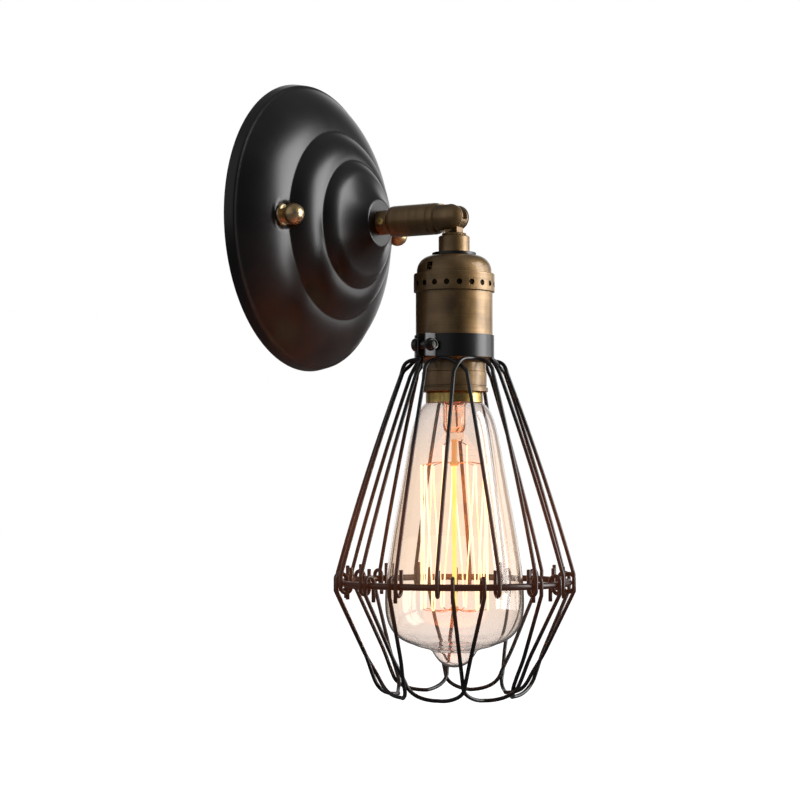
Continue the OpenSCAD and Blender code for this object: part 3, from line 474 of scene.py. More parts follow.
@dataclass
class Finishes:
    """Every finish of the light, built once and shared by its pieces."""

    def __post_init__(self) -> None:
        """Builds the materials."""
        # Polyester powder coat, sprayed and baked: a deep black with wide soft highlights and a faint orange peel.
        self.paint = PowderCoat().look()
        # The same coat on thin wire, with a painted red-brown glow round the bulb's height for the lit bulb's light
        # between the wires.
        self.wire_paint = PowderCoat(name="powder_coated_wire", painted_glow="#482313").look()
        # Brass turned on a lathe, darkened and lacquered: warm brown, with fine lines that run round the piece.
        self.arm_brass = TurnedBrass(axis=Axis.ARM).look()
        self.head_brass = TurnedBrass(axis=Axis.HEAD).look()
        # Painted shade: dark brass under the perforated band, so that its holes read nearly black.
        self.painted_shade_brass = TurnedBrass(name="brass_painted_shade", bright="#3a2c1a", mid="#2a2014", dark="#191209",
                                      lacquer=0.0, roughness=(0.5, 0.7)).look()
        # Brass polished by hand and aged a little: pale gold with a soft, bright highlight.
        self.ball_brass = PlainMetal("polished_brass", "polished_brass", "#e3c9a0", "#c2a678", (0.26, 0.38)).look()
        # Thin brass sheet with rolled threads: yellower and streaked, as a lamp's cap is.
        self.cap_brass = PlainMetal("rolled_brass", "polished_brass", "#dcc078", "#a98a45", (0.22, 0.38)).look()
        # Steel plated with zinc: a cool grey, cloudy sheen on the fixings inside.
        self.steel = PlainMetal("zinc_plated_steel", "zinc_plated_steel", "#c6c8cc", "#93969b", (0.25, 0.45)).look()
        # Steel blackened in hot salts: dark, with bare bright edges where a driver and a nut have rubbed it.
        self.black_steel = PlainMetal("black_oxide_steel", "blackened_screw_steel", "#6a6866", "#3a3937",
                                      (0.30, 0.45)).look()
        # Drawn nickel wire, tanned by heat: thin brown grey lines against the bright glass.
        self.nickel = PlainMetal("nickel_wire", "zinc_plated_steel", "#b9a58e", "#7d6a55", (0.3, 0.5)).look()
        # Porcelain, pressed and glazed: warm white with a wet gloss.
        self.porcelain = Dielectric("glazed_porcelain", "glazed_porcelain", "#f1ece0", "#ddd6c6", (0.15, 0.3),
                                    2.0).look()
        # Vulcanised paper fibre, rolled into a tube: flat brown, with no shine.
        self.fibre = Dielectric("pressed_fibre", "fibre_liner", "#54422f", "#392b1e", (0.6, 0.8), 0.6).look()
        # Black glass poured into the cap round its contact: dark, with a hard gloss.
        self.vitrite = Dielectric("black_vitrite", "black_cap_glass", "#141417", "#0a0a0c", (0.1, 0.25), 1.5).look()
        # Green enamel on the earth screw: one spot of colour behind the canopy.
        self.green = Dielectric("green_screw_paint", "green_ground_screw", "#2f7a3b", "#1e5a29", (0.35, 0.5),
                                0.8).look()
        # Clear soda-lime glass, blown thin: bright upright streaks, and a painted peach tint and glow round the lit
        # filament.
        self.glass = LampGlass().look()
        # Lead glass of the stem, drawn and pinched: darker edges with a painted orange tint and glow from the
        # filament's light.
        self.stem_glass = LampGlass(name="stem_lead_glass", clear="#fff0e2", warm="#ffe2c6", painted_veil="#ff9a55", glow=0.03,
                                    wave_mm=5.0).look()
        # Carbon filament at a dull white heat: pale yellow strands with softer ends.
        self.filament = Glowing("glowing_carbon_filament", "carbon_filament", "#fff3cc", "#ffe3a8", 2.0).look()
        # Glass rod in the middle of the light: a painted greenish yellow glow stands for the light that it carries.
        self.rod_glow = Glowing("lit_glass_rod", "carbon_filament", "#fdff9c", "#fff580", 1.1).look()
        # The rod's ends and buttons: a painted amber glow, for light that reaches them from one side only.
        self.rod_end_glow = Glowing("warm_glass_rod", "clear_glass", "#ffb46e", "#f09a4c", 0.75).look()


# ---------------------------------------------------------------- mesh tools


def emptied(bm: BMesh, name: str) -> bpy.types.Mesh:
    """Turns a bmesh into a mesh of that name and frees it."""
    mesh = bpy.data.meshes.new(name)
    bm.to_mesh(mesh)
    bm.free()
    return mesh


def put(name: str, data: bpy.types.ID) -> Object:
    """Returns a new object of a mesh, lamp or camera, linked to the scene."""
    thing = bpy.data.objects.new(name, data)
    bpy.context.scene.collection.objects.link(thing)
    return thing


def dress(look: Look, *names: str) -> None:
    """Gives a look to CAD nodes whose shape stays.

    Args:
        look: The look.
        names: The nodes.
    """
    for name in names:
        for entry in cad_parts[name].material_slots:
            entry.material = look.material
        log.info("node %s dressed in %s", name, look.material.name)


def joined(parts: list[tuple[BMesh, int]]) -> BMesh:
    """Puts meshes into one.

    Args:
        parts: Each mesh with its material number. They are freed.

    Returns:
        The mesh that holds them all.
    """
    whole = bmesh.new()
    for part, number in parts:
        for face in part.faces:
            face.material_index = number
        mesh = emptied(part, "part")
        whole.from_mesh(mesh)
        bpy.data.meshes.remove(mesh)
    return whole


def arm_place(out: float = 0.0, side: float = 0.0) -> Matrix:
    """Returns a placement whose Z runs out from the wall, at a way out and a way along X in millimetres."""
    return Matrix.Translation(Vector((side, -out, 0)) * MM) @ Matrix.Rotation(math.pi / 2, 4, "X")


def head_place(z: float = 0.0) -> Matrix:
    """Returns a placement on the head's axis, at a height from the pivot in millimetres."""
    return Matrix.Translation(Vector((0, -PIVOT_OUT, z)) * MM)


def soften_line(bm: BMesh, verts: list[bmesh.types.BMVert], spacing_mm: float, passes: int) -> None:
    """Rounds the corners of a line of points: cuts it fine, then evens it out.

    Args:
        bm: The mesh that holds the line.
        verts: The line's points.
        spacing_mm: How fine it is cut.
        passes: How often it is evened. More passes give rounder corners.
    """
    edges = list({e for v in verts for e in v.link_edges})
    for edge in edges:
        cuts = int(edge.calc_length() / (spacing_mm * MM))
        if cuts:
            bmesh.ops.subdivide_edges(bm, edges=[edge], cuts=cuts)
    moving = [v for v in bm.verts if len(v.link_edges) == 2 and abs(v.co.x) > ON_AXIS_M]
    for _ in range(passes):
        bmesh.ops.smooth_vert(bm, verts=moving, factor=0.5, use_axis_x=True, use_axis_y=True, use_axis_z=True)


def lathe(profile: list[Pair], place: Matrix, steps: int, closed: bool = True,
          spacing_mm: float = 0.4, passes: int = 0) -> BMesh:
    """Turns a half section about a placement's Z.

    Args:
        profile: Radius and height along Z of each point, in millimetres.
        place: Where the turning axis is.
        steps: How many steps make the full turn.
        closed: Whether the section's last point joins its first.
        spacing_mm: How fine the section is cut before its corners are rounded.
        passes: How often it is evened, 0 for sharp corners.

    Returns:
        The turned mesh.
    """
    bm = bmesh.new()
    verts = [bm.verts.new(Vector((r, 0, h)) * MM) for r, h in profile]
    pairs = list(zip(verts, verts[1:])) + ([(verts[-1], verts[0])] if closed else [])
    for pair in pairs:
        bm.edges.new(pair)
    if passes:
        soften_line(bm, verts, spacing_mm, passes)
    bmesh.ops.spin(bm, geom=bm.verts[:] + bm.edges[:], cent=(0, 0, 0), axis=(0, 0, 1), angle=math.tau, steps=steps,
                   use_merge=True)
    bmesh.ops.remove_doubles(bm, verts=bm.verts, dist=MERGE_M)
    bmesh.ops.transform(bm, matrix=place, verts=bm.verts)
    bmesh.ops.recalc_face_normals(bm, faces=bm.faces)
    return bm


def softened(node: str, width_mm: float) -> BMesh:
    """Copies a CAD node and rounds its edges, as tumbling or paint does.

    Args:
        node: The node.
        width_mm: Width of the rounding, 0 for a copy whose edges stay as they are.

    Returns:
        The copy, merged and rounded.
    """
    bm = bmesh.new()
    bm.from_mesh(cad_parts[node].data)
    bmesh.ops.remove_doubles(bm, verts=bm.verts, dist=WELD_M)
    if width_mm:
        bmesh.ops.dissolve_limit(bm, angle_limit=FLAT, verts=bm.verts, edges=bm.edges)
        corners = [e for e in bm.edges if len(e.link_faces) == 2 and e.calc_face_angle(0) > CORNER]
        bmesh.ops.bevel(bm, geom=corners, offset=width_mm * MM, offset_type="OFFSET", segments=2, profile=0.5,
                        material=-1, affect="EDGES", clamp_overlap=True)
        log.info("node %s copied, %d edges rounded", node, len(corners))
    return bm


def rail(path: list[Vector]) -> list[Matrix]:
    """Works out a frame at each point of a path, carried along it without twist.

    Args:
        path: The points, in metres.

    Returns:
        One placement for each point, with Z along the path.
    """
    ahead = [(path[min(i + 1, len(path) - 1)] - path[max(i - 1, 0)]).normalized() for i in range(len(path))]
    turn = Vector((0, 0, 1)).rotation_difference(ahead[0])
    frames = []
    for i, point in enumerate(path):
        if i:
            turn = ahead[i - 1].rotation_difference(ahead[i]) @ turn
        frames.append(Matrix.Translation(point) @ turn.to_matrix().to_4x4())
    return frames


def sweep(bm: BMesh, path: list[Vector], radius_mm: float, sides: int, ends_mm: float = 0.0) -> None:
    """Draws a round wire along a path by extruding its ring from point to point.

    Args:
        bm: The mesh that takes it.
        path: The wire's middle line, in metres.
        radius_mm: The wire's radius.
        sides: Sides of its ring.
        ends_mm: How far the cut ends are rounded.
    """
    frames = rail(path)
    ring = bmesh.ops.create_circle(bm, cap_ends=True, segments=sides, radius=radius_mm * MM, matrix=frames[0])
    edges = list({e for v in ring["verts"] for e in v.link_edges})
    first = list(edges)
    for before, after in zip(frames, frames[1:]):
        grown = bmesh.ops.extrude_edge_only(bm, edges=edges)["geom"]
        verts = [g for g in grown if isinstance(g, bmesh.types.BMVert)]
        edges = [g for g in grown if isinstance(g, bmesh.types.BMEdge)]
        bmesh.ops.transform(bm, matrix=after @ before.inverted(), verts=verts)
    bmesh.ops.contextual_create(bm, geom=edges)
    if ends_mm > 0:
        bmesh.ops.bevel(bm, geom=first + edges, offset=ends_mm * MM, segments=2, profile=0.5, material=-1,
                        affect="EDGES")


def polar(radius: float, degrees: float, z: float) -> Vector:
    """Returns a point on the head, in metres, from its radius, angle and height in millimetres."""
    a = math.radians(degrees)
    return Vector((radius * math.cos(a), radius * math.sin(a) - PIVOT_OUT, z)) * MM


def arc(a: Pair, b: Pair, sag: float, steps: int) -> list[Pair]:
    """Works out an arc between two points.

    Args:
        a: Its first point.
        b: Its last point.
        sag: How far it rises to the right of the line from a to b.
        steps: How many steps it is cut into.

    Returns:
        steps + 1 points.
    """
    chord = math.dist(a, b)
    r = (chord * chord / 4 + sag * sag) / (2 * sag)
    side = ((b[1] - a[1]) / chord, (a[0] - b[0]) / chord)
    middle = ((a[0] + b[0]) / 2 + side[0] * (sag - r), (a[1] + b[1]) / 2 + side[1] * (sag - r))
    half = math.asin(chord / 2 / r)
    start = math.atan2(side[1], side[0]) - half
    turns = [start + 2 * half * i / steps for i in range(steps + 1)]
    return [(middle[0] + r * math.cos(t), middle[1] + r * math.sin(t)) for t in turns]


def bezier(points: list[Pair], steps: int) -> list[Pair]:
    """Returns steps + 1 points of the cubic curve through the first and last of four points."""
    out = []
    for i in range(steps + 1):
        t = i / steps
        weights = ((1 - t) ** 3, 3 * (1 - t) ** 2 * t, 3 * (1 - t) * t * t, t ** 3)
        out.append((sum(w * p[0] for w, p in zip(weights, points)), sum(w * p[1] for w, p in zip(weights, points))))
    return out


# ---------------------------------------------------------------- sub-assemblies


@dataclass
class Assembly:
    """What every sub-assembly has: finishes to wear, a body to ride on and pieces to build, all in millimetres."""

    finishes: Finishes
    body: ClassVar[Body] = Body.HEAD

    def piece(self, bm: BMesh, name: str, looks: Look | list[Look], node: str, sharp_deg: float = 35.0,
              even: bool = False) -> Object:
        """Turns a bmesh into a shaded object that rides on the body.

        Args:
            bm: The mesh under work. It is freed.
            name: The object's name.
            looks: Its look, or one for each material number in the mesh.
            node: The CAD node that it stands for.
            sharp_deg: Edges that turn by more than this stay sharp.
            even: Whether large faces are given the say over the shading at their edges.

        Returns:
            The new object.
        """
        bmesh.ops.remove_doubles(bm, verts=bm.verts, dist=MERGE_M)
        bmesh.ops.recalc_face_normals(bm, faces=bm.faces)
        mesh = emptied(bm, name)
        mesh.polygons.foreach_set("use_smooth", [True] * len(mesh.polygons))
        mesh.set_sharp_from_angle(angle=math.radians(sharp_deg))
        looks = looks if isinstance(looks, list) else [looks]
        for look in looks:
            mesh.materials.append(look.material)
        piece = put(name, mesh)
        if even:
            piece.modifiers.new("even_normals", "WEIGHTED_NORMAL").keep_sharp = True
        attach(piece, self.body.value)
        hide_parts(node)
        log.info("piece %s: %d faces on %s", name, len(mesh.polygons), self.body.value)
        return piece

    def worn(self, node: str, look: Look, width_mm: float) -> Object:
        """Builds a copy of a CAD node whose edges are rounded by a width in millimetres."""
        return self.piece(softened(node, width_mm), node + "_worn", look, node, even=True)

    def build(self) -> None:
        """Builds the assembly's pieces and dresses the others."""
        raise NotImplementedError


@dataclass
class WallPlate(Assembly):
    """The part that stays on the wall: canopy, ball nuts and the bracket behind them.

    The canopy's line runs through rim, step, two grooves and flare, each a radius and a way out from
    the wall, to the flat front inside the boss. Its nuts stand at stud from the middle, on flat seats.
    """

    body: ClassVar[Body] = Body.WALL
    width: float = 138.5
    depth: float = 42.0
    sheet: float = 1.0
    rim: Pair = (68.3, 4.7)
    step: Pair = (66.9, 5.4)
    outer_groove: Pair = (44.8, 19.5)
    inner_groove: Pair = (30.4, 28.6)
    flare: Pair = (24.5, 33.6)
    boss: float = 11.15
    hole: float = 5.05
    stud: float = 47.4
    nut: float = 10.0
    seat: float = 17.2
    seat_radius: float = 5.2
    seat_fade: float = 1.4

    def line(self) -> list[Pair]:
        """Returns the canopy's outer line from the wall to the hole in its flat front."""
        front = (self.boss, self.depth)
        line = [(self.width / 2, 0.0), self.rim]
        line += arc(self.step, self.outer_groove, 2.2, 20)
        line += arc(self.outer_groove, self.inner_groove, 1.9, 12)[1:]
        line += arc(self.inner_groove, self.flare, 0.5, 6)[1:]
        line += arc(front, self.flare, 0.7, 8)[::-1][1:]
        return line + [(self.hole, self.depth)]

    def canopy(self) -> Object:
        """Spins the canopy from one sheet and presses the seats of its two nuts."""
        bm = lathe(self.line(), arm_place(), 192, closed=False, spacing_mm=0.4, passes=3)
        flat, fade = self.seat_radius, self.seat_fade
        for vert in bm.verts:
            for side in (-1, 1):
                away = math.hypot(vert.co.x / MM - side * self.stud, vert.co.z / MM)
                if away < flat + fade:
                    vert.co.y = lerp(vert.co.y, -self.seat * MM, eased(1 - max(0.0, away - flat) / fade))
        if min(bm.faces, key=lambda f: f.calc_center_median().y).normal.y > 0:
            bmesh.ops.reverse_faces(bm, faces=bm.faces)
        piece = self.piece(bm, "canopy_spinning", self.finishes.paint, "canopy", 60)
        wall = piece.modifiers.new("sheet", "SOLIDIFY")
        wall.thickness = self.sheet * MM
        wall.offset = -1
        return piece

    def ball_nuts(self) -> Object:
        """Turns the two ball nuts, with a foot, a groove and a ball."""
        r = self.nut / 2
        ball = 2 + r - 0.7
        line = [(0, 0), (r - 0.5, 0), (r, 0.4), (r, 1.1), (r - 0.35, 1.5), (r * 0.8, 1.6), (r * 0.72, 1.9)]
        start = math.asin((1.9 - ball) / r)
        for i in range(1, 25):
            t = lerp(start, math.pi / 2, i / 24)
            line.append((r * math.cos(t) if i < 24 else 0.0, ball + r * math.sin(t)))
        bm = joined([(lathe(line, arm_place(self.seat, side * self.stud), 64, closed=False), 0) for side in (-1, 1)])
        return self.piece(bm, "ball_nuts", self.finishes.ball_brass, "ball_cap_nuts", 30)

    def build(self) -> None:
        """Builds the canopy and its nuts and dresses the fixings inside it."""
        self.canopy()
        self.ball_nuts()
        dress(self.finishes.steel, "mounting_bracket", "canopy_studs", "stud_lock_nuts", "nipple", "nipple_nut",
              "lock_washer")
        dress(self.finishes.green, "ground_screw")


@dataclass
class Arm(Assembly):
    """The short arm: stub, sleeve and slotted ball end."""

    body: ClassVar[Body] = Body.ARM
    stub: float = 11.6
    sleeve: float = 14.8
    sleeve_start: float = 48.1
    sleeve_end: float = 74.0
    bevel: float = 2.2

    def sleeve_piece(self) -> Object:
        """Turns the thick sleeve, with bevelled ends and a fine groove near the knuckle."""
        r, a, b, c = self.sleeve / 2, self.sleeve_start, self.sleeve_end, self.bevel
        line = [(self.stub / 2 + 0.02, a), (r - 0.8, a), (r - 0.2, a + c * 0.4), (r, a + c), (r, b - c - 2.2),
                (r - 0.18, b - c - 2.0), (r - 0.18, b - c - 1.7), (r, b - c - 1.5), (r, b - c),
                (r - 0.2, b - c * 0.4), (r - 0.8, b), (self.stub / 2 + 0.02, b)]
        bm = lathe(line, arm_place(), 96, spacing_mm=0.12, passes=2)
        return self.piece(bm, "turned_sleeve", self.finishes.arm_brass, "arm_sleeve", 50)

    def build(self) -> None:
        """Builds the arm's pieces."""
        self.sleeve_piece()
        self.worn("arm_stub", self.finishes.arm_brass, 0.2)
        # Rounding tears the faces of the slotted ball, so its edges stay as they are.
        self.worn("knuckle_clevis", self.finishes.arm_brass, 0.0)
        dress(self.finishes.cap_brass, "stub_set_screw")
        dress(self.finishes.black_steel, "pivot_screw")
        dress(self.finishes.steel, "friction_washers")


@dataclass
class Socket(Assembly):
    """The lamp socket with the tongue and coupling above it.

    The tongue's edges aren't rounded, because rounding tears its faces. Its front is closed from its
    eye, as wide as the knuckle's slot, down to the flange. Below mouth_top the dome's rim is dark:
    painted shade behind the shell's holes.
    """

    rounded: tuple[tuple[str, float], ...] = (("knuckle_tongue", 0.0), ("coupling", 0.2), ("socket_cap", 0.15),
                                              ("socket_shell", 0.14))
    mouth_top: float = -27.2
    eye: float = 5.7
    neck: float = 6.2
    slot: float = 3.4
    slot_end: float = -1.2
    flange_top: float = -7.6
    proud: float = 0.03

    def tongue_front(self) -> BMesh:
        """Closes the tongue's front under the groove, where the leads' hole would show.

        Returns:
            A piece of the eye's own round and of the neck under it, a hair proud of both.
        """
        bm = bmesh.new()
        width = (self.slot - 0.1) * MM
        bmesh.ops.create_cone(bm, cap_ends=True, segments=96, radius1=(self.eye + self.proud) * MM,
                              radius2=(self.eye + self.proud) * MM, depth=width,
                              matrix=head_place() @ Matrix.Rotation(math.pi / 2, 4, "Y"))
        neck = bmesh.ops.create_cube(bm, size=1)["verts"]
        size = Vector((width, (self.neck + 2 * self.proud) * MM, -self.flange_top * MM, 1))
        bmesh.ops.transform(bm, matrix=head_place(self.flange_top / 2) @ Matrix.Diagonal(size), verts=neck)
        bmesh.ops.bisect_plane(bm, geom=bm.verts[:] + bm.edges[:] + bm.faces[:], dist=MERGE_M,
                               plane_co=(0, 0, self.slot_end * MM), plane_no=(0, 0, 1), clear_outer=True)
        bmesh.ops.holes_fill(bm, edges=[e for e in bm.edges if e.is_boundary])
        return bm

    def build(self) -> None:
        """Rounds the socket's edges and dresses its pieces."""
        for node, width in self.rounded:
            bm = softened(node, width)
            if node == "knuckle_tongue":
                bm = joined([(bm, 0), (self.tongue_front(), 0)])
            for face in bm.faces:
                # Behind the shell's holes lies the dome's rim, painted dark as painted shade, so that the holes read
                # black.
                in_painted_shade = node == "socket_cap" and face.calc_center_median().z < self.mouth_top * MM
                face.material_index = 1 if in_painted_shade else 0
            looks = [self.finishes.head_brass, self.finishes.painted_shade_brass]
            self.piece(bm, node + "_worn", looks, node, even=True)
        self.worn("socket_disc", self.finishes.paint, 0.25)
        dress(self.finishes.black_steel, "coupling_screw")
        dress(self.finishes.steel, "cap_nut")
        dress(self.finishes.porcelain, "socket_insulator")
        dress(self.finishes.fibre, "insulating_liner")
        dress(self.finishes.cap_brass, "terminal_screws", "centre_contact", "screw_shell")


@dataclass
class Bulb(Assembly):
    """The filament bulb: glass, cap, stem, supports and filament.

    Heights are taken from the pivot. The filament's strands share a turn round the mount in as many
    parts as there are runs, of which two stay empty between its ends.
    """

    width: float = 64.0
    length: float = 121.8
    cap_width: float = 26.4
    cap_gap: float = 0.4
    wall: float = 0.8
    glass_top: float = -86.1
    steps: int = 128
    stem: float = 10.6
    stem_gap: float = 0.05
    stem_drop: float = 14.0
    press: Triple = (8.5, 3.0, 6.4)
    press_round: float = 0.9
    rod: float = 2.6
    button: float = 0.5
    crown: float = -114.1
    runs: int = 18
    ring: float = 15.5
    top: float = -115.1
    low: float = -181.1
    ends: float = -106.1
    turn: float = 210.0
    turn_half_deg: float = 2.4
    turn_radius: float = 1.1
    strand: float = 0.7
    strand_bow: float = 0.3
    support: float = 0.32
    support_bow: float = 0.9
    hook_gap: float = 0.05
    lead: float = 0.44

    def outline(self, inset: float) -> list[Pair]:
        """Works out the glass's half section.

        Args:
            inset: How far it lies inside the outer surface, in millimetres.

        Returns:
            Radius and height of each point, from the neck to the nib.
        """
        r = self.width / 2 - inset
        neck = self.cap_width / 2 - self.cap_gap - inset
        top, length, up = self.glass_top, self.length, inset * 0.8
        tip = top - length + inset
        waist = (r * 0.756, top - length * 0.3)
        wide = (r, top - length * 0.755)
        shoulder = (r * 0.61, top - length * 0.912 + up)
        nib = (r * 0.322, top - length * 0.94 + up / 2)
        line = [(neck, top + 2)]
        line += bezier([(neck, top), (r * 0.61, top - length * 0.028), (r * 0.65, top - length * 0.155), waist], 20)
        line += bezier([waist, (r * 0.86, top - length * 0.452), (r, top - length * 0.616), wide], 20)[1:]
        line += bezier([wide, (r, top - length * 0.845), (r * 0.875, top - length * 0.891 + up), shoulder], 16)[1:]
        line += bezier([shoulder, (r * 0.47, top - length * 0.93 + up), (r * 0.36, top - length * 0.927 + up), nib],
                       12)[1:]
        line += bezier([nib, (nib[0] * 0.82, lerp(nib[1], tip, 0.4)), (nib[0] * 0.6, tip), (0, tip)], 12)[1:]
        return line

    def glass(self) -> Object:
        """Builds the glass as one closed shell, outside and inside."""
        bm = lathe(self.outline(0) + self.outline(self.wall)[::-1], head_place(), self.steps)
        return self.piece(bm, "bulb_glass_shell", self.finishes.glass, "bulb_glass", 60)

    def mount(self) -> Object:
        """Builds the stem tube, its press and the glass rod with two buttons."""
        top, r, low = self.glass_top, self.stem / 2, self.glass_top - self.stem_drop
        neck = self.cap_width / 2 - self.cap_gap - self.wall - self.stem_gap
        tube = [(neck, top + 1.9), (r + 1.2, top + 0.6), (r, top - 1.5), (r, low + 4), (r - 0.5, low + 1.2),
                (r - 1.6, low + 0.2), (r - 2.4, low + 0.8), (r - 1.2, low + 2.2), (r - 0.7, low + 4.4),
                (r - 0.7, top - 1.2), (r + 0.5, top + 1.3), (neck - 0.5, top + 2)]
        press = bmesh.new()
        bmesh.ops.create_cube(press, size=1)
        size = Matrix.Diagonal(Vector((*self.press, 1 / MM)) * MM)
        facing = Matrix.Rotation(math.radians(self.turn + 90), 4, "Z")
        bmesh.ops.transform(press, matrix=head_place(low - 0.6) @ facing @ size, verts=press.verts)
        bmesh.ops.bevel(press, geom=press.edges[:], offset=self.press_round * MM, segments=4, profile=0.5, material=-1,
                        affect="EDGES")
        a, end = self.rod / 2, self.low - 1.8
        crown, foot = self.crown, self.low
        # The rod's ends and buttons wear a painted amber glow, and its middle a painted yellow glow.
        warm = [(0, low - 3), (a, low - 3), (a, crown + 1.2), (a + 0.7, crown + 0.6), (a + 0.8, crown - 0.5),
                (a + 0.3, crown - 1.2), (0, crown - 1.2)]
        lit = [(0, crown - 1.25), (a - 0.25, crown - 1.25), (a - 0.25, foot + 1.3), (0, foot + 1.3)]
        base = [(0, foot + 1.25), (a + 0.2, foot + 1.2), (a + 0.6, foot + 0.4), (a + 0.5, foot - 0.6), (a - 0.4, end),
                (0, end)]
        parts = [(lathe(tube, head_place(), 48), 0), (press, 0),
                 (lathe(warm, head_place(), 32, closed=False), 1), (lathe(lit, head_place(), 32, closed=False), 2),
                 (lathe(base, head_place(), 32, closed=False), 1)]
        looks = [self.finishes.stem_glass, self.finishes.rod_end_glow, self.finishes.rod_glow]
        return self.piece(joined(parts), "stem_and_rod", looks, "bulb_stem", 40)

    def angle(self, bend: int) -> float:
        """Returns the angle of one bend of the filament."""
        return self.turn + 360 * (bend + 1) / self.runs

    def height(self, bend: int) -> float:
        """Returns the height of one bend: its two ends stand higher, at the leads."""
        if bend in (0, self.runs - 2):
            return self.ends
        return self.top if bend % 2 == 0 else self.low

    def zigzag(self) -> Object:
        """Bends the filament up and down round the mount as one strand with rounded turns."""
        path = []
        last, side, rise = self.runs - 2, self.turn_half_deg, self.turn_radius
        for bend in range(last + 1):
            up = 1 if bend % 2 == 0 else -1
            z = self.height(bend)
            for i in range(9) if 0 < bend < last else (4,):
                t = math.radians(-90 + 22.5 * i)
                path.append(polar(self.ring, self.angle(bend) + side * math.sin(t), z - up * rise * (1 - math.cos(t))))
            if bend < last:
                start = self.angle(bend) + (side if bend else 0)
                end = self.angle(bend + 1) - (side if bend + 1 < last else 0)
                for i in range(1, 9):
                    t = i / 9
                    path.append(polar(self.ring - self.strand_bow * math.sin(math.pi * t), lerp(start, end, eased(t)),
                                      lerp(z - up * rise, self.height(bend + 1) + up * rise, t)))
        bm = bmesh.new()
        sweep(bm, path, self.strand / 2, 8)
        piece = self.piece(bm, "filament_strand", self.finishes.filament, "filament", 60)
        piece.visible_glossy = False
        return piece

    def supports(self) -> Object:
        """Fans the thin hooks out from both buttons to the filament's bends."""
        bm = bmesh.new()
        hub = self.rod / 2 + self.button
        reach = self.ring - self.strand / 2 - self.support / 2 - self.hook_gap
        for bend in range(1, self.runs - 2):
            z, drop, bow = ((self.crown, 1, self.support_bow) if bend % 2 == 0
                            else (self.low, 0, -self.support_bow))
            path = [polar(lerp(hub, reach, i / 6), self.angle(bend), z - drop * i / 6 + bow * math.sin(math.pi * i / 6))
                    for i in range(7)]
            sweep(bm, path, self.support / 2, 8, 0.06)
        return self.piece(bm, "filament_hooks", self.finishes.nickel, "filament_supports", 60)

    def leads(self) -> Object:
        """Bends the two lead wires from the press out to the filament's ends."""
        bm = bmesh.new()
        low = self.glass_top - self.stem_drop - 4
        for bend, side in ((0, 1), (self.runs - 2, -1)):
            end = polar(self.ring - 0.5, self.angle(bend), self.ends)
            start = polar(side * self.press[0] * 0.4, self.turn + 90, low + 1)
            knee = start + Vector((0, 0, -1.6)) * MM
            middle = knee.lerp(end, 0.5) + Vector((0, 0, 0.6)) * MM
            path = [start, knee] + [knee.lerp(middle, t).lerp(middle.lerp(end, t), t) for t in
                                    (0.15, 0.3, 0.45, 0.6, 0.75, 0.9, 1.0)]
            sweep(bm, path, self.lead / 2, 8, 0.05)
        return self.piece(bm, "lead_wires", self.finishes.nickel, "bulb_leads", 60)

    def build(self) -> None:
        """Builds the glass and what is in it, and dresses the cap."""
        self.glass()
        self.mount()
        self.zigzag()
        self.supports()
        self.leads()
        dress(self.finishes.cap_brass, "bulb_cap")
        dress(self.finishes.vitrite, "bulb_cap_insulator")
        dress(self.finishes.steel, "bulb_contact")


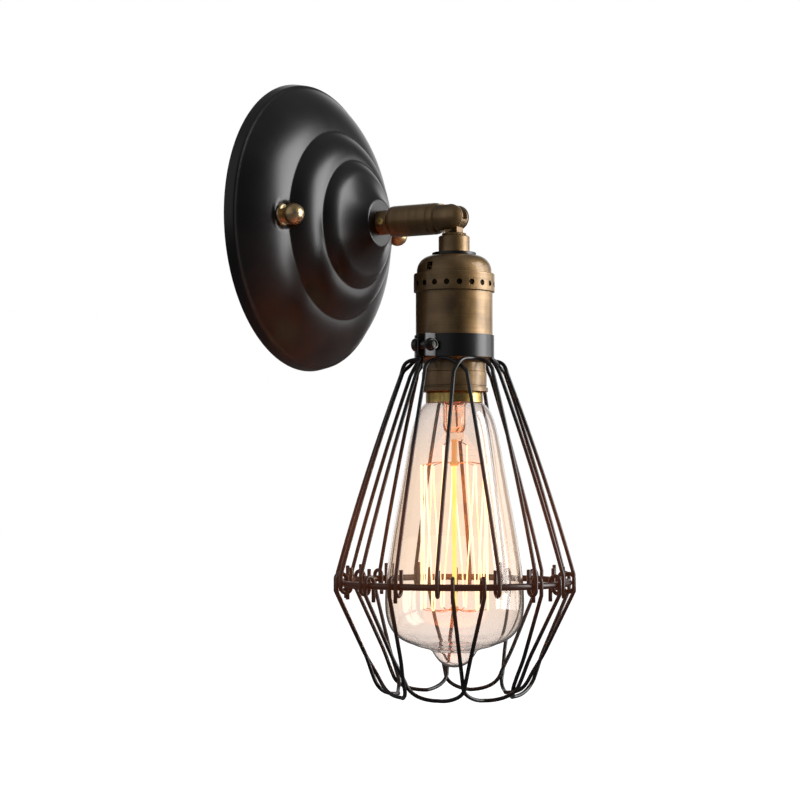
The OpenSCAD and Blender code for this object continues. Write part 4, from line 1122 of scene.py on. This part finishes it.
@dataclass
class Cage(Assembly):
    """The wire cage: clamp, arches, ring and loops. Its wires follow the same lines as the frame's.

    Wires that meet stay apart by touch, and where two cross each steps aside by clear times its
    radius. A pair of angles is the middle of an arch's two legs and half the way between them. The
    hooks' rounds stand off the ring's height by slack, and their ends run past it to hook_end.
    """

    turn: float = 170.0
    wire: float = 1.8
    wire_sides: int = 16
    wire_end: float = 0.25
    touch: float = 0.02
    clear: float = 1.2
    ring_wire: float = 3.0
    ring_width: float = 105.0
    clamp_bottom: float = -65.5
    collar_radius: float = 18.47
    upper: float = 103.3
    lower: float = 51.7
    slack: float = 1.6
    hook_end: float = 7.4
    leg_start: float = 4.0
    top_inset: float = 0.325
    arch_low: Pair = (6.2, 7.9)
    arch_knee: Pair = (1.8, 5.0)
    arch_top_deg: float = 23.0
    arch_low_deg: Pair = (16.0, 23.1)
    arch_ring_deg: Pair = (9.9, 24.4)
    arch_bow: float = 4.4
    mouth: float = 54.0
    loop_knee: Pair = (8.8, 7.5)
    loop_knee_deg: float = 23.0
    loop_ring_deg: float = 29.8
    crossing: float = 14.0
    clamp_height: float = 10.4
    ear_bend: float = 0.25
    ear_face: float = 3.15
    screw_radius: float = 21.27
    screw_end: float = 6.8
    screw_cut: float = 1.3
    hollow: tuple[Pair, Pair] = ((0.45, 0.0), (0.2, -0.6))
    grip: float = 3.8
    head_seat: float = 0.6

    @property
    def ring_z(self) -> float:
        """The height of the ring."""
        return self.clamp_bottom - self.upper

    @property
    def reach(self) -> float:
        """The way from the ring's middle line to that of a wire that hooks round it."""
        return self.ring_wire / 2 + self.wire / 2 + self.touch

    @property
    def leg(self) -> float:
        """The radius at which a leg comes to the ring."""
        return self.ring_width / 2 + self.reach

    def hook(self, degrees: float, way: int) -> list[Vector]:
        """Returns the bend round the ring at the end of a leg, way -1 under the ring and 1 over it."""
        points = []
        for i in range(13):
            t = math.radians(15 * i)
            points.append(polar(self.ring_width / 2 + self.reach * math.cos(t), degrees,
                                self.ring_z + way * (self.slack + self.reach * math.sin(t))))
        points.append(polar(self.ring_width / 2 - self.reach, degrees, self.ring_z - way * self.hook_end))
        return points

    def shoulder(self, t: float) -> Pair:
        """Returns radius and height on the line from the clamp to an arch's legs."""
        top = (self.collar_radius - self.top_inset, self.clamp_bottom - self.wire / 2 - self.touch)
        low = (self.collar_radius + self.arch_low[0], self.clamp_bottom - self.arch_low[1])
        knee = (low[0] - self.arch_knee[0], low[1] + self.arch_knee[1])
        return tuple((1 - t) ** 2 * a + 2 * t * (1 - t) * b + t * t * c for a, b, c in zip(top, knee, low))

    def outward(self, point: Vector) -> Vector:
        """Returns the level direction from the head's line to a point."""
        return Vector((point.x, point.y + PIVOT_OUT * MM, 0)).normalized()

    def arch_half(self, side: int, out: int) -> list[Vector]:
        """Returns one half of an arch, from near the clamp down to the end of its hook."""
        stand_off = self.wire / 2 * self.clear * out * (side < 0)
        low_middle, low_half = self.arch_low_deg
        points = []
        for i in range(1, 17):
            t = i / 16
            u = 1 - math.cos(math.radians(90 * t))
            a = lerp(self.arch_top_deg, low_middle, u) + side * low_half * math.sin(math.radians(90 * t))
            r, z = self.shoulder(u)
            ahead, behind = self.shoulder(min(u + 0.05, 1)), self.shoulder(max(u - 0.05, 0))
            dr, dz = ahead[0] - behind[0], ahead[1] - behind[1]
            n = math.hypot(dr, dz)
            shift = stand_off * math.sin(math.radians(180 * t ** 1.4)) ** 2
            points.append(polar(r - shift * dz / n, a, z + shift * dr / n))
        ring_a = self.arch_ring_deg[0] + side * self.arch_ring_deg[1]
        low = self.shoulder(1)
        start = polar(low[0], low_middle + side * low_half, low[1])
        end = polar(self.leg, ring_a, self.ring_z + self.leg_start)
        for i in range(1, 9):
            t = i / 8
            p = start.lerp(end, t)
            points.append(p + self.outward(p) * (self.arch_bow * t * (1 - t) * MM))
        return points + self.hook(ring_a, -1)

    def turned(self, path: list[Vector], degrees: float, mirror: int = 1) -> list[Vector]:
        """Returns a path mirrored across X and turned about the head's line."""
        centre = Vector((0, -PIVOT_OUT * MM, 0))
        turn = Matrix.Rotation(math.radians(degrees), 3, "Z")
        return [turn @ Vector((p.x, mirror * (p.y - centre.y), p.z)) + centre for p in path]

    def wires(self, paths: list[list[Vector]], name: str, node: str) -> Object:
        """Draws the cage's wire along several paths as one piece."""
        bm = bmesh.new()
        for path in paths:
            sweep(bm, path, self.wire / 2, self.wire_sides, self.wire_end)
        return self.piece(bm, name, self.finishes.wire_paint, node, 50)

    def arches(self) -> Object:
        """Builds the eight arches in four mirrored pairs."""
        r, z = self.shoulder(0)
        top = polar(r, self.arch_top_deg, z)
        paths = []
        for pair in range(4):
            for right in (-1, 1):
                path = self.arch_half(-1, right)[::-1] + [top] + self.arch_half(1, right)
                paths.append(self.turned(path, self.turn + 45 + 90 * pair, right))
        return self.wires(paths, "arch_wires", "cage_arches")

    def passing(self, z: float) -> float:
        """Returns how far a loop's leg stands out where it crosses its neighbour."""
        middle = self.ring_z - self.lower + self.loop_knee[1] - 1
        if abs(z - middle) > self.crossing:
            return 0.0
        return self.wire / 2 * self.clear * math.cos(math.pi / 2 * (z - middle) / self.crossing) ** 2

    def loop_half(self, side: int) -> list[Vector]:
        """Returns one half of a lower loop, from its hook's end to the bottom."""
        low_z, mouth = self.ring_z - self.lower, self.mouth / 2
        knee = (mouth + self.loop_knee[0], low_z + self.loop_knee[1])
        start = polar(self.leg, side * self.loop_ring_deg, self.ring_z - self.leg_start)
        end = polar(knee[0], side * self.loop_knee_deg, knee[1])
        lean = Vector((self.ring_z - self.leg_start - knee[1], knee[0] - self.leg + self.touch)).normalized()
        points = self.hook(side * self.loop_ring_deg, 1)[::-1]
        for i in range(17):
            p = start.lerp(end, i / 16)
            shift = side * self.passing(p.z / MM) * MM
            points.append(p + self.outward(p) * (shift * lean.x) + Vector((0, 0, shift * lean.y)))
        bend = bezier([knee, (knee[0] - 2.6, knee[1] - 5.4), (mouth + 3, low_z), (mouth, low_z)], 12)
        for i in range(1, 13):
            r, z = bend[i]
            turn = math.cos(math.radians(90 * i / 12))
            shift = side * self.passing(z) * turn
            points.append(polar(r + shift * lean.x, side * self.loop_knee_deg * turn, z + shift * lean.y))
        return points

    def loops(self) -> Object:
        """Builds the eight lower loops."""
        path = self.loop_half(-1) + self.loop_half(1)[-2::-1]
        paths = [self.turned(path, self.turn + 45 + 45 * (i + 0.5)) for i in range(8)]
        return self.wires(paths, "loop_wires", "cage_loops")

    def clamp(self) -> Object:
        """Rounds the clamp band and bends its ears together, as its screw pulls them."""
        bm = softened("cage_collar", 0.18)
        place = head_place() @ Matrix.Rotation(math.radians(self.turn), 4, "Z")
        back = place.inverted()
        for vert in bm.verts:
            here = back @ vert.co
            past = here.x - (self.collar_radius + 0.1) * MM
            if past > 0:
                here.y -= math.copysign(past * self.ear_bend, here.y)
                vert.co = place @ here
        return self.piece(bm, "clamp_band", self.finishes.paint, "cage_collar", even=True)

    def screw(self) -> Object:
        """Seats the clamp's screw on the bent ears, hollows its end and sets a domed nut under that end."""
        bm = softened("clamp_screw", 0.25)
        place = (head_place(self.clamp_bottom + self.clamp_height / 2)
                 @ Matrix.Rotation(math.radians(self.turn), 4, "Z")
                 @ Matrix.Translation(Vector((self.screw_radius, 0, 0)) * MM))
        bmesh.ops.transform(bm, matrix=place.inverted(), verts=bm.verts)
        bmesh.ops.rotate(bm, verts=bm.verts, cent=(0, 0, 0), matrix=Matrix.Rotation(math.pi / 2, 3, "Y"))
        for vert in bm.verts:
            if vert.co.y > self.screw_end * MM:
                vert.co.y -= self.screw_cut * MM
            elif vert.co.y < -self.grip * MM:
                vert.co.y += self.head_seat * MM
        end = max((f for f in bm.faces if f.normal.y > 0.99), key=lambda f: f.calc_center_median().y)
        for thickness, depth in self.hollow:
            bmesh.ops.inset_region(bm, faces=[end], thickness=thickness * MM, depth=depth * MM, use_even_offset=True)
        lean = Vector((0, 0, 1)).rotation_difference(Vector((self.ear_bend, 1, 0))).to_matrix().to_4x4()
        domed = [(1.9, 0), (3.0, 0), (2.95, 0.3), (2.75, 0.7), (2.4, 1.0), (1.9, 1.2)]
        nut = lathe(domed, Matrix.Translation(Vector((0, self.ear_face, 0)) * MM) @ lean, 48)
        bm = joined([(bm, 0), (nut, 1)])
        bmesh.ops.transform(bm, matrix=place, verts=bm.verts)
        looks = [self.finishes.black_steel, self.finishes.paint]
        return self.piece(bm, "clamp_screw_worn", looks, "clamp_screw", even=True)

    def ring(self) -> Object:
        """Spins the ring that every wire hooks round."""
        bm = bmesh.new()
        place = Matrix.Translation(Vector((self.ring_width / 2, 0, 0)) * MM) @ Matrix.Rotation(math.pi / 2, 4, "X")
        bmesh.ops.create_circle(bm, segments=24, radius=self.ring_wire / 2 * MM, matrix=place)
        bmesh.ops.spin(bm, geom=bm.verts[:] + bm.edges[:], cent=(0, 0, 0), axis=(0, 0, 1), angle=math.tau, steps=160,
                       use_merge=True)
        bmesh.ops.transform(bm, matrix=head_place(self.ring_z), verts=bm.verts)
        return self.piece(bm, "ring_wire", self.finishes.wire_paint, "cage_ring", 60)

    def build(self) -> None:
        """Builds the wires and the ring and rounds the clamp."""
        self.arches()
        self.loops()
        self.ring()
        self.clamp()
        self.screw()


# ---------------------------------------------------------------- studio


@dataclass(frozen=True)
class Patch:
    """One soft patch of light in the surroundings.

    It is full within the inner angle round its direction and has gone at the outer one, both in degrees.
    """

    toward: Triple
    inner: float
    outer: float
    level: float

    def add(self, tree: Tree) -> Out:
        """Adds the patch to the world's nodes and returns its brightness by direction."""
        place = add_node(tree, "ShaderNodeTexCoord")
        along = add_node(tree, "ShaderNodeVectorMath", {"operation": "DOT_PRODUCT"},
                         {1: Vector(self.toward).normalized()}, {0: place.outputs["Generated"]})
        fade = add_node(tree, "ShaderNodeMapRange", {"interpolation_type": "SMOOTHSTEP"},
                        {"From Min": math.cos(math.radians(self.outer)),
                         "From Max": math.cos(math.radians(self.inner)), "To Max": self.level},
                        {"Value": along.outputs["Value"]})
        return fade.outputs["Result"]


@dataclass(frozen=True)
class Softbox:
    """One soft rectangular lamp, by the direction in which it hangs, its width and height in metres and its watts."""

    name: str
    toward: Triple
    size: Pair
    watts: float

    def hang(self, aim: Vector, away: float) -> Object:
        """Hangs the lamp away from a point, facing it.

        Args:
            aim: The point, in metres.
            away: How far away it hangs.

        Returns:
            The lamp.
        """
        data = bpy.data.lights.new(self.name, "AREA")
        data.shape = "RECTANGLE"
        data.size, data.size_y = self.size
        data.energy = self.watts
        lamp = put(self.name, data)
        lamp.location = aim + Vector(self.toward) * away
        lamp.rotation_euler = (Vector(self.toward) * -away).to_track_quat("-Z", "Y").to_euler()
        return lamp


@dataclass
class Studio:
    """Pale floor, surroundings that are white in view and dim in reflections, lamps and the camera.

    The camera's axes, place and lens were fitted on the photograph. Lengths are in metres, but for the
    lamps' heights in the bulb, which are in millimetres from the pivot.
    """

    right: Triple = (0.5015, -0.8652, 0.0)
    back: Triple = (-0.8644, -0.5010, -0.0427)
    place: Triple = (-0.8214, -0.5286, -0.1248)
    lens: float = 91.1
    sensor: float = 36.0
    nearest: float = 0.01
    ambient: float = 0.05
    left_patch: Patch = Patch((-0.85, 0.52, 0.05), 20, 70, 0.34)
    top_patch: Patch = Patch((0.0, 0.0, 1.0), 10, 70, 0.14)
    far_patch: Patch = Patch((0.8644, 0.5010, 0.0427), 14, 42, 1.0)
    floor_z: float = -0.34
    floor_half: float = 6.0
    floor_shades: Pair = (0.80, 0.82)
    floor_dim: float = 0.07
    floor_glow: float = 0.94
    floor_reflected: float = 0.06
    key: Softbox = Softbox("key_softbox", (0.430, -0.878, 0.208), (0.76, 1.40), 22)
    side: Softbox = Softbox("side_softbox", (0.829, -0.559, 0.03), (0.60, 1.2), 4)
    aim: Triple = (0.0, -0.06, -0.11)
    away: float = 1.3
    bulb_colour: str = "#ff8640"
    bulb_lamp_radius: float = 0.020
    bulb_heights: Triple = (-126.0, -146.0, -166.0)
    glow_watts: float = 0.08
    throw_watts: float = 0.36
    spared: tuple[str, ...] = ("arch_wires", "loop_wires", "ring_wire")

    def in_view(self, tree: Tree, path: bpy.types.Node) -> Out:
        """Adds the test for what the camera sees straight or through glass, not through a reflection.

        Args:
            tree: The node tree.
            path: Its Light Path node.

        Returns:
            The value that is 1 there.
        """
        # A ray that has gone through glass after a reflection belongs to the reflection, so it stays dim.
        straight = maths(tree, "LESS_THAN", path.outputs["Glossy Depth"], 0.5)
        through = maths(tree, "MULTIPLY", path.outputs["Is Transmission Ray"], straight)
        return maths(tree, "MAXIMUM", path.outputs["Is Camera Ray"], through)

    def world(self) -> None:
        """Lights the set: white where the camera looks, dim round the object but for a side, the top and behind."""
        world = bpy.data.worlds.new("studio_world")
        bpy.context.scene.world = world
        world.use_nodes = True
        tree = world.node_tree
        tree.nodes.clear()
        path = add_node(tree, "ShaderNodeLightPath")
        behind = maths(tree, "MULTIPLY", self.far_patch.add(tree), path.outputs["Is Glossy Ray"])
        total = self.ambient
        for patch in (self.left_patch.add(tree), behind, self.top_patch.add(tree)):
            total = maths(tree, "ADD", patch, total)
        level = add_node(tree, "ShaderNodeMix", {"data_type": "FLOAT"}, {3: 1.0},
                         {0: self.in_view(tree, path), 2: total})
        shader = add_node(tree, "ShaderNodeBackground", values={"Color": grey(1.0)},
                          links={"Strength": level.outputs[0]})
        add_node(tree, "ShaderNodeOutputWorld", links={"Surface": shader.outputs["Background"]})

    def floor_material(self) -> Material:
        """Builds the floor's material: white in view but for a shadow, dim in reflections and in its own light."""
        material = blank_material("pale_floor")
        tree = material.node_tree
        path = add_node(tree, "ShaderNodeLightPath")
        seen = self.in_view(tree, path)
        speck = ramp(tree, even_noise(tree, 8.0, 2.0), list(zip(MIDDLE_NOISE, map(grey, self.floor_shades))))
        shade = add_node(tree, "ShaderNodeMix", {"data_type": "RGBA"}, {6: grey(self.floor_dim)}, {0: seen, 7: speck})
        matt = add_node(tree, "ShaderNodeBsdfDiffuse", links={"Color": shade.outputs[2]})
        faint = maths(tree, "MULTIPLY", path.outputs["Is Glossy Ray"], self.floor_reflected)
        level = maths(tree, "MULTIPLY", maths(tree, "MAXIMUM", seen, faint), self.floor_glow)
        glow = add_node(tree, "ShaderNodeEmission", values={"Color": grey(1.0)}, links={"Strength": level})
        both = add_node(tree, "ShaderNodeAddShader", links={0: matt.outputs["BSDF"], 1: glow.outputs["Emission"]})
        add_node(tree, "ShaderNodeOutputMaterial", links={"Surface": both.outputs["Shader"]})
        return material

    def floor(self) -> Object:
        """Lays a wide pale floor that reads white and still takes a shadow."""
        bm = bmesh.new()
        bmesh.ops.create_grid(bm, x_segments=1, y_segments=1, size=self.floor_half,
                              matrix=Matrix.Translation((0, 0, self.floor_z)))
        mesh = emptied(bm, "floor")
        mesh.materials.append(self.floor_material())
        floor = put("floor", mesh)
        return floor

    def lamps(self) -> None:
        """Hangs the two soft boxes and the bulb's own light, whose stronger half spares the cage's wires."""
        for softbox in (self.key, self.side):
            softbox.hang(Vector(self.aim), self.away)
        spared = bpy.data.collections.new("spared")
        for name in self.spared:
            spared.objects.link(bpy.data.objects[name])
        for entry in spared.collection_objects:
            entry.light_linking.link_state = "EXCLUDE"
        for i, z in enumerate(self.bulb_heights):
            self.bulb_lamp(f"bulb_glow_{i}", z, self.glow_watts)
            self.bulb_lamp(f"bulb_throw_{i}", z, self.throw_watts).light_linking.receiver_collection = spared

    def bulb_lamp(self, name: str, z: float, watts: float) -> Object:
        """Hangs a warm round lamp inside the bulb, which only shows by what it lights.

        Args:
            name: The lamp's name.
            z: Its height on the head, in millimetres.
            watts: Its power.

        Returns:
            The lamp.
        """
        data = bpy.data.lights.new(name, "POINT")
        data.energy = watts
        data.color = srgb(self.bulb_colour)[:3]
        data.shadow_soft_size = self.bulb_lamp_radius
        lamp = put(name, data)
        lamp.location = Vector((0, -PIVOT_OUT, z)) * MM
        lamp.visible_camera = False
        lamp.visible_transmission = False
        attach(lamp, Body.HEAD.value)
        return lamp

    def camera(self) -> Object:
        """Places the camera at the photograph's view."""
        data = bpy.data.cameras.new("camera")
        data.sensor_width = self.sensor
        data.sensor_fit = "HORIZONTAL"
        data.lens = self.lens
        data.clip_start = self.nearest
        camera = put("camera", data)
        x, z = Vector(self.right), Vector(self.back)
        camera.matrix_world = Matrix.Translation(self.place) @ Matrix((x, z.cross(x), z)).transposed().to_4x4()
        bpy.context.scene.camera = camera
        return camera

    def build(self) -> None:
        """Sets up the floor, surroundings, lamps and camera."""
        self.world()
        self.floor()
        self.lamps()
        self.camera()
        bpy.context.scene.view_settings.view_transform = "Standard"


def main() -> None:
    """Builds the light piece by piece, then the studio round it."""
    logging.basicConfig(level=logging.INFO, format="%(name)s %(message)s")
    finishes = Finishes()
    for part in (WallPlate(finishes), Arm(finishes), Socket(finishes), Bulb(finishes), Cage(finishes), Studio()):
        log.info("building %s", type(part).__name__)
        part.build()


if __name__ == "__main__":
    main()
